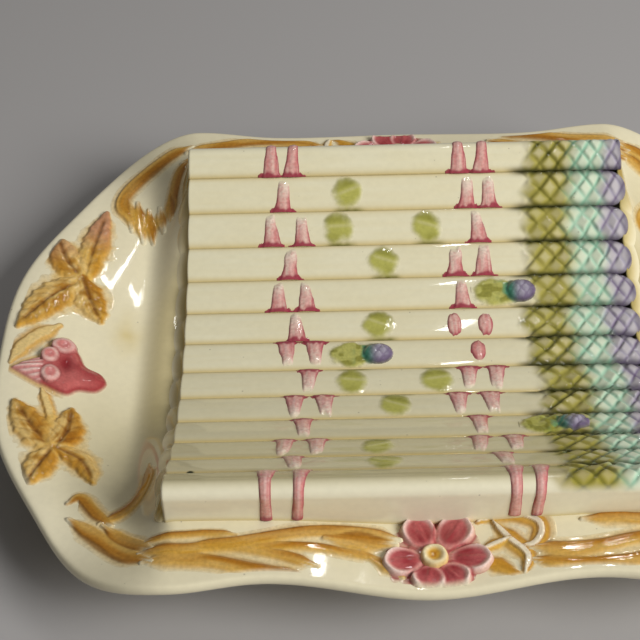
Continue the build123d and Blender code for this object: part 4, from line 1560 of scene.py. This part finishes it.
        def shape(x: Array, y: Array, base: Array) -> tuple[Array, Array]:
            """Height and colour of the flower.

            Args:
                x: first coordinates in mm.
                y: second coordinates in mm.
                base: the bare platter's colours.

            Returns:
                Heights over the face in mm, and colours.
            """
            around = beside(edge, x, y)
            deep = np.where((around.side < 0.0) & (x > -176.4), around.distance, -around.distance)
            body = smooth((deep + 0.6) / 1.6)
            lip = beside(tongue, x, y)
            tube = beside(neck, x, y)
            lift = (self.bell_edge + self.bell_swell * smooth(deep / 5.0)) * body - self.sink * (1.0 - body)
            tone = 0.5 + 0.5 * grain(x, y, 2.6, 5)
            halo = 0.65 * smooth((deep + 3.4) / 2.6) * smooth((-150.0 - x) / 8.0)
            lift = self.film(lift, halo)
            colour = blend(base, Tone.OCHRE, halo)
            colour = blend(colour, Tone.CARMINE, body)
            colour = blend(colour, Tone.ROSE, 0.85 * body * smooth((deep - 0.6) / 2.2) * (0.6 + 0.4 * tone))
            reach = smooth((lip.along - 1.0) / 4.0)
            colour = blend(colour, Tone.CARMINE, 0.8 * body * reach * hump((lip.side - 1.0) / 2.6))
            colour = blend(colour, Tone.CARMINE, 0.5 * body * smooth((lip.along - 0.55 * lip.length) / 6.0))
            ribs = np.sin(2.0 * np.pi * tube.side / 2.6)
            stalk = smooth((-161.0 - x) / 4.0) * body
            lift = lift + 0.25 * ribs * stalk
            colour = blend(colour, Tone.PINK, stalk)
            ridge = smooth(0.4 + 0.6 * ribs)
            colour = blend(colour, Tone.PINK_PALE, 0.7 * stalk * ridge * smooth(deep / 2.0))
            for cx, cy, long, wide in lobes:
                d = np.hypot((x - cx) / long, (y - cy) / wide)
                knob = np.sqrt(np.clip(1.0 - d**2, 0.0, 1.0))
                top = self.lobe_base + self.lobe_rise * knob - 0.5 * smooth((0.6 - d) / 0.6)
                lift = np.where(d < 1.0, np.maximum(lift, top), lift)
                colour = blend(colour, Tone.CARMINE, 0.9 * hump((d - 1.02) / 0.10))
                colour = blend(colour, Tone.ROSE, smooth((1.0 - d) / 0.12))
                colour = blend(colour, Tone.PINK_PALE, 0.75 * hump((d - 0.72) / 0.22) * (0.5 + 0.5 * tone))
                colour = blend(colour, Tone.PINK, 0.6 * smooth((0.5 - d) / 0.3))
            pit = np.exp(-(((x - throat[0]) / 3.4) ** 2) - ((y - throat[1]) / 5.6) ** 2)
            lift = np.where(lift > 0.3, np.maximum(lift - self.throat_depth * pit, 0.3), lift)
            colour = blend(colour, Tone.CRIMSON, 1.1 * pit)
            return lift, colour

        self.pair(names, Finish.PINK, (-183.0, -36.0), (-126.0, 16.0), shape)

    def build(self) -> None:
        """Make all the ornament of the rim."""
        self.ribbon(("front_left_ribbon", "back_right_ribbon"), (
            Strand(((-112.0, -114.5), (-95.7, -114.1), (-85.6, -113.3), (-74.0, -114.2)), 3.6),
            Strand(((-110.0, -125.0), (-95.0, -125.6), (-82.5, -126.8), (-70.0, -130.0), (-57.6, -133.0),
                    (-45.3, -132.8)), 7.0, 0.8),
            Strand(((-112.0, -120.0), (-95.3, -120.8), (-82.8, -119.6), (-72.8, -120.2), (-57.7, -123.8),
                    (-42.8, -128.7)), 5.6, 1.0),
            Strand(((-70.3, -119.6), (-45.2, -119.4), (-32.7, -121.6), (-19.5, -124.0)), 4.4, 0.8),
            Strand(((-92.0, -119.4), (-76.6, -118.4), (-64.1, -116.0), (-45.2, -112.2), (-24.9, -112.2),
                    (-11.0, -115.0)), 6.0, 1.0),
            Strand(((-40.0, -115.2), (-28.0, -116.6), (-13.0, -117.4)), 9.0, 0.8),
            Strand(((-23.0, -124.0), (-17.5, -127.5), (-11.0, -132.4)), 8.0, 1.0, 0.0, 4.0)))
        self.ribbon(("front_right_ribbon", "back_left_ribbon"), (
            Strand(((37.0, -127.0), (53.8, -129.8), (66.0, -130.0), (78.5, -129.0), (106.0, -123.4)), 6.2, 0.9),
            Strand(((38.0, -121.6), (54.6, -123.2), (67.2, -121.8), (80.1, -119.4), (108.0, -117.0)), 6.6, 1.0),
            Strand(((59.0, -109.6), (71.5, -109.4), (81.4, -110.4), (99.0, -111.6)), 6.4, 0.9)))
        self.ribbon(("front_left_corner_ribbon", "back_right_corner_ribbon"), (
            Strand(((-106.0, -125.4), (-118.0, -118.0), (-131.0, -105.5), (-142.0, -96.0)), 8.0),
            Strand(((-106.0, -119.0), (-118.0, -110.0), (-128.0, -100.0)), 6.0),
            Strand(((-129.5, -99.0), (-121.7, -93.2), (-115.4, -85.2), (-111.8, -76.0), (-112.5, -66.0)), 5.5),
            Strand(((-124.3, -99.9), (-131.2, -93.0), (-138.5, -84.0), (-143.5, -87.5)), 6.5)))
        self.ribbon(("front_right_corner_ribbon", "back_left_corner_ribbon"), (
            Strand(((103.0, -118.5), (107.0, -115.5), (110.0, -108.0), (111.4, -97.0), (111.6, -84.0)), 5.6),
            Strand(((134.0, -100.0), (132.6, -92.0), (130.6, -81.0)), 7.0, 0.9),
            Strand(((129.0, -98.0), (127.6, -88.0), (125.0, -75.0)), 7.0, 0.9),
            Strand(((123.6, -94.0), (122.6, -86.0), (120.4, -74.5)), 7.0, 0.9),
            Strand(((118.4, -95.0), (117.4, -88.0), (115.4, -79.5)), 6.0, 0.9),
            Strand(((113.4, -100.0), (112.8, -92.0), (111.8, -84.0)), 5.0, 0.9),
            Strand(((103.0, -126.5), (114.0, -124.0), (126.5, -114.5), (135.0, -104.0), (136.6, -95.0),
                    (131.5, -86.0)), 7.0, 1.2)))
        bow = (((19.3, -107.6), (26.5, -105.0), (34.2, -104.8), (41.8, -109.0), (43.0, -114.6), (39.6, -120.0),
                (34.0, -121.0)),
               ((24.9, -107.9), (30.5, -116.5), (36.6, -124.9), (35.0, -133.0)),
               ((19.0, -121.6), (27.2, -117.9), (31.1, -116.5)))
        ground = (Strand(((17.0, -125.0), (25.0, -128.6), (32.5, -133.6)), 10.0, 0.6, -0.6, 3.0),)
        ground += tuple(Strand(line, 7.4, 0.6, -0.75, 2.0) for line in bow)
        strokes = tuple(Strand(line, 3.0, 1.6, 0.85, 1.0) for line in bow)
        self.ribbon(("front_bow", "back_bow"), ground + strokes)
        self.spray(("left_rear_leaf_spray", "right_front_leaf_spray"), (
            Leaf(((-151.0, 48.0), (-148.0, 66.0), (-143.4, 91.0)), 13.5, 1.0, 0.4, -1.0),
            Leaf(((-151.0, 48.0), (-159.0, 58.0), (-165.0, 72.5)), 15.5, 0.6, 0.6, 1.0),
            Leaf(((-151.0, 48.0), (-163.9, 34.7), (-176.6, 14.6)), 17.0, 0.0, 0.7, 1.0),
            Leaf(((-151.0, 48.0), (-147.0, 36.5), (-141.5, 25.0)), 15.0, 0.0, 0.8, 1.0)), (
            Strand(((-177.0, -8.0), (-171.0, 5.0), (-158.5, 18.0)), 8.0, 0.9, 0.5),
            Strand(((-153.0, 46.0), (-151.0, 49.0)), 5.0, 1.6)))
        self.spray(("left_front_leaf_spray", "right_rear_leaf_spray"), (
            Leaf(((-153.5, -57.0), (-162.4, -46.0), (-172.0, -31.5)), 16.0, 0.0, 0.8, -1.0),
            Leaf(((-152.5, -56.0), (-149.0, -46.0), (-148.4, -31.5)), 14.0, 0.0, 1.0, -1.0),
            Leaf(((-153.5, -57.0), (-157.4, -67.0), (-161.5, -78.0)), 13.0, 0.0, 0.6, 1.0),
            Leaf(((-151.5, -56.0), (-141.0, -62.0), (-134.6, -74.6)), 11.0, 0.0, 0.5, -1.0)), (
            Strand(((-161.8, -22.0), (-157.4, -34.0), (-153.0, -54.0)), 4.6, 1.1, 0.5),))
        self.flower(("front_flower", "back_flower"), ("front_flower_centre", "back_flower_centre"))
        self.bell(("left_bell_flower", "right_bell_flower"))


@dataclass
class Studio:
    """Floor, soft light and the camera at the photograph's angle.

    The camera is fitted to the photograph: focal length and picture width in pixels, angles in degrees, and
    the eye in mm. Places and sizes of floor and lights are in metres.
    """

    focal: float = 1565.546
    image: float = 640.0
    pitch: float = 44.353
    yaw: float = -0.754
    roll: float = -1.762
    eye: tuple[float, float, float] = (-34.512, -486.507, 520.545)
    sensor: float = 36.0
    aim: tuple[float, float, float] = (-0.05, 0.0, 0.03)
    floor_half: float = 2.5
    floor_drop: float = 0.0004
    floor_roughness: float = 0.7
    ambient: float = 0.13

    def camera(self) -> None:
        """Place the camera."""
        th, psi, rho = (math.radians(a) for a in (self.pitch, self.yaw, self.roll))
        look = Vector((math.sin(psi) * math.cos(th), math.cos(psi) * math.cos(th), -math.sin(th)))
        right = Vector((math.cos(psi), -math.sin(psi), 0.0))
        up = right.cross(look)
        across = math.cos(rho) * right + math.sin(rho) * up
        above = -math.sin(rho) * right + math.cos(rho) * up
        data = bpy.data.cameras.new("camera")
        data.sensor_width = self.sensor
        data.lens = self.focal / self.image * data.sensor_width
        data.clip_start, data.clip_end = 0.01, 20.0
        eye = bpy.data.objects.new("camera", data)
        turn = Matrix((across, above, -look)).transposed().to_4x4()
        eye.matrix_world = Matrix.Translation(Vector(self.eye) * METRE) @ turn
        bpy.context.scene.collection.objects.link(eye)
        bpy.context.scene.camera = eye

    def lamp(self, name: str, place: tuple[float, float, float], size: Point, power: float,
             mirrored: bool = True) -> None:
        """Hang one rectangular light aimed at the plate.

        Args:
            name: the light's name.
            place: its place in metres.
            size: its width and height in metres.
            power: its power in watts.
            mirrored: whether its image shows in the glaze.
        """
        data = bpy.data.lights.new(name, "AREA")
        data.shape = "RECTANGLE"
        data.size, data.size_y = size
        data.energy = power
        made = bpy.data.objects.new(name, data)
        made.location = place
        made.rotation_euler = (Vector(self.aim) - Vector(place)).to_track_quat("-Z", "Y").to_euler()
        made.visible_glossy = mirrored
        bpy.context.scene.collection.objects.link(made)

    def build(self) -> None:
        """Set floor, world, lights and camera."""
        graph = bmesh.new()
        bmesh.ops.create_grid(graph, x_segments=1, y_segments=1, size=self.floor_half)
        mesh = mesh_from(graph, "floor")
        floor = bpy.data.objects.new("floor", mesh)
        floor.location.z = -self.floor_drop
        bpy.context.scene.collection.objects.link(floor)
        # Matt grey paper: an even ground without grain that takes a soft shadow.
        paper = bpy.data.materials.new("grey_paper")
        paper.use_nodes = True
        shader = paper.node_tree.nodes["Principled BSDF"]
        shader.inputs["Base Color"].default_value = (*linear(Tone.PAPER), 1.0)
        shader.inputs["Roughness"].default_value = self.floor_roughness
        mesh.materials.append(paper)
        world = bpy.data.worlds.new("studio")
        world.use_nodes = True
        sky = world.node_tree.nodes["Background"]
        sky.inputs["Color"].default_value = (*linear(Tone.DAYLIGHT), 1.0)
        sky.inputs["Strength"].default_value = self.ambient
        bpy.context.scene.world = world
        # Window and ceiling give the light and leave no image in the glaze; the images of the two strips are
        # the curved highlights in the left well.
        self.lamp("window", (1.19, -0.81, 1.08), (0.85, 0.85), 33.5, False)
        self.lamp("ceiling", (0.30, 0.50, 1.30), (0.50, 0.50), 1.5, False)
        self.lamp("strip_a", (0.12, 0.665, 1.14), (0.016, 0.15), 0.30)
        self.lamp("strip_b", (0.24, 0.73, 1.055), (0.016, 0.22), 0.42)
        bpy.context.scene.view_settings.view_transform = "Standard"
        self.camera()


def main() -> None:
    """Build every part of the plate in order, then the studio."""
    logging.basicConfig(level=logging.INFO, format="%(name)s %(message)s")
    PLATTER.build()
    BED.build()
    StalkTrim().build()
    Mouldings().build()
    Studio().build()


if __name__ == "__main__":
    main()
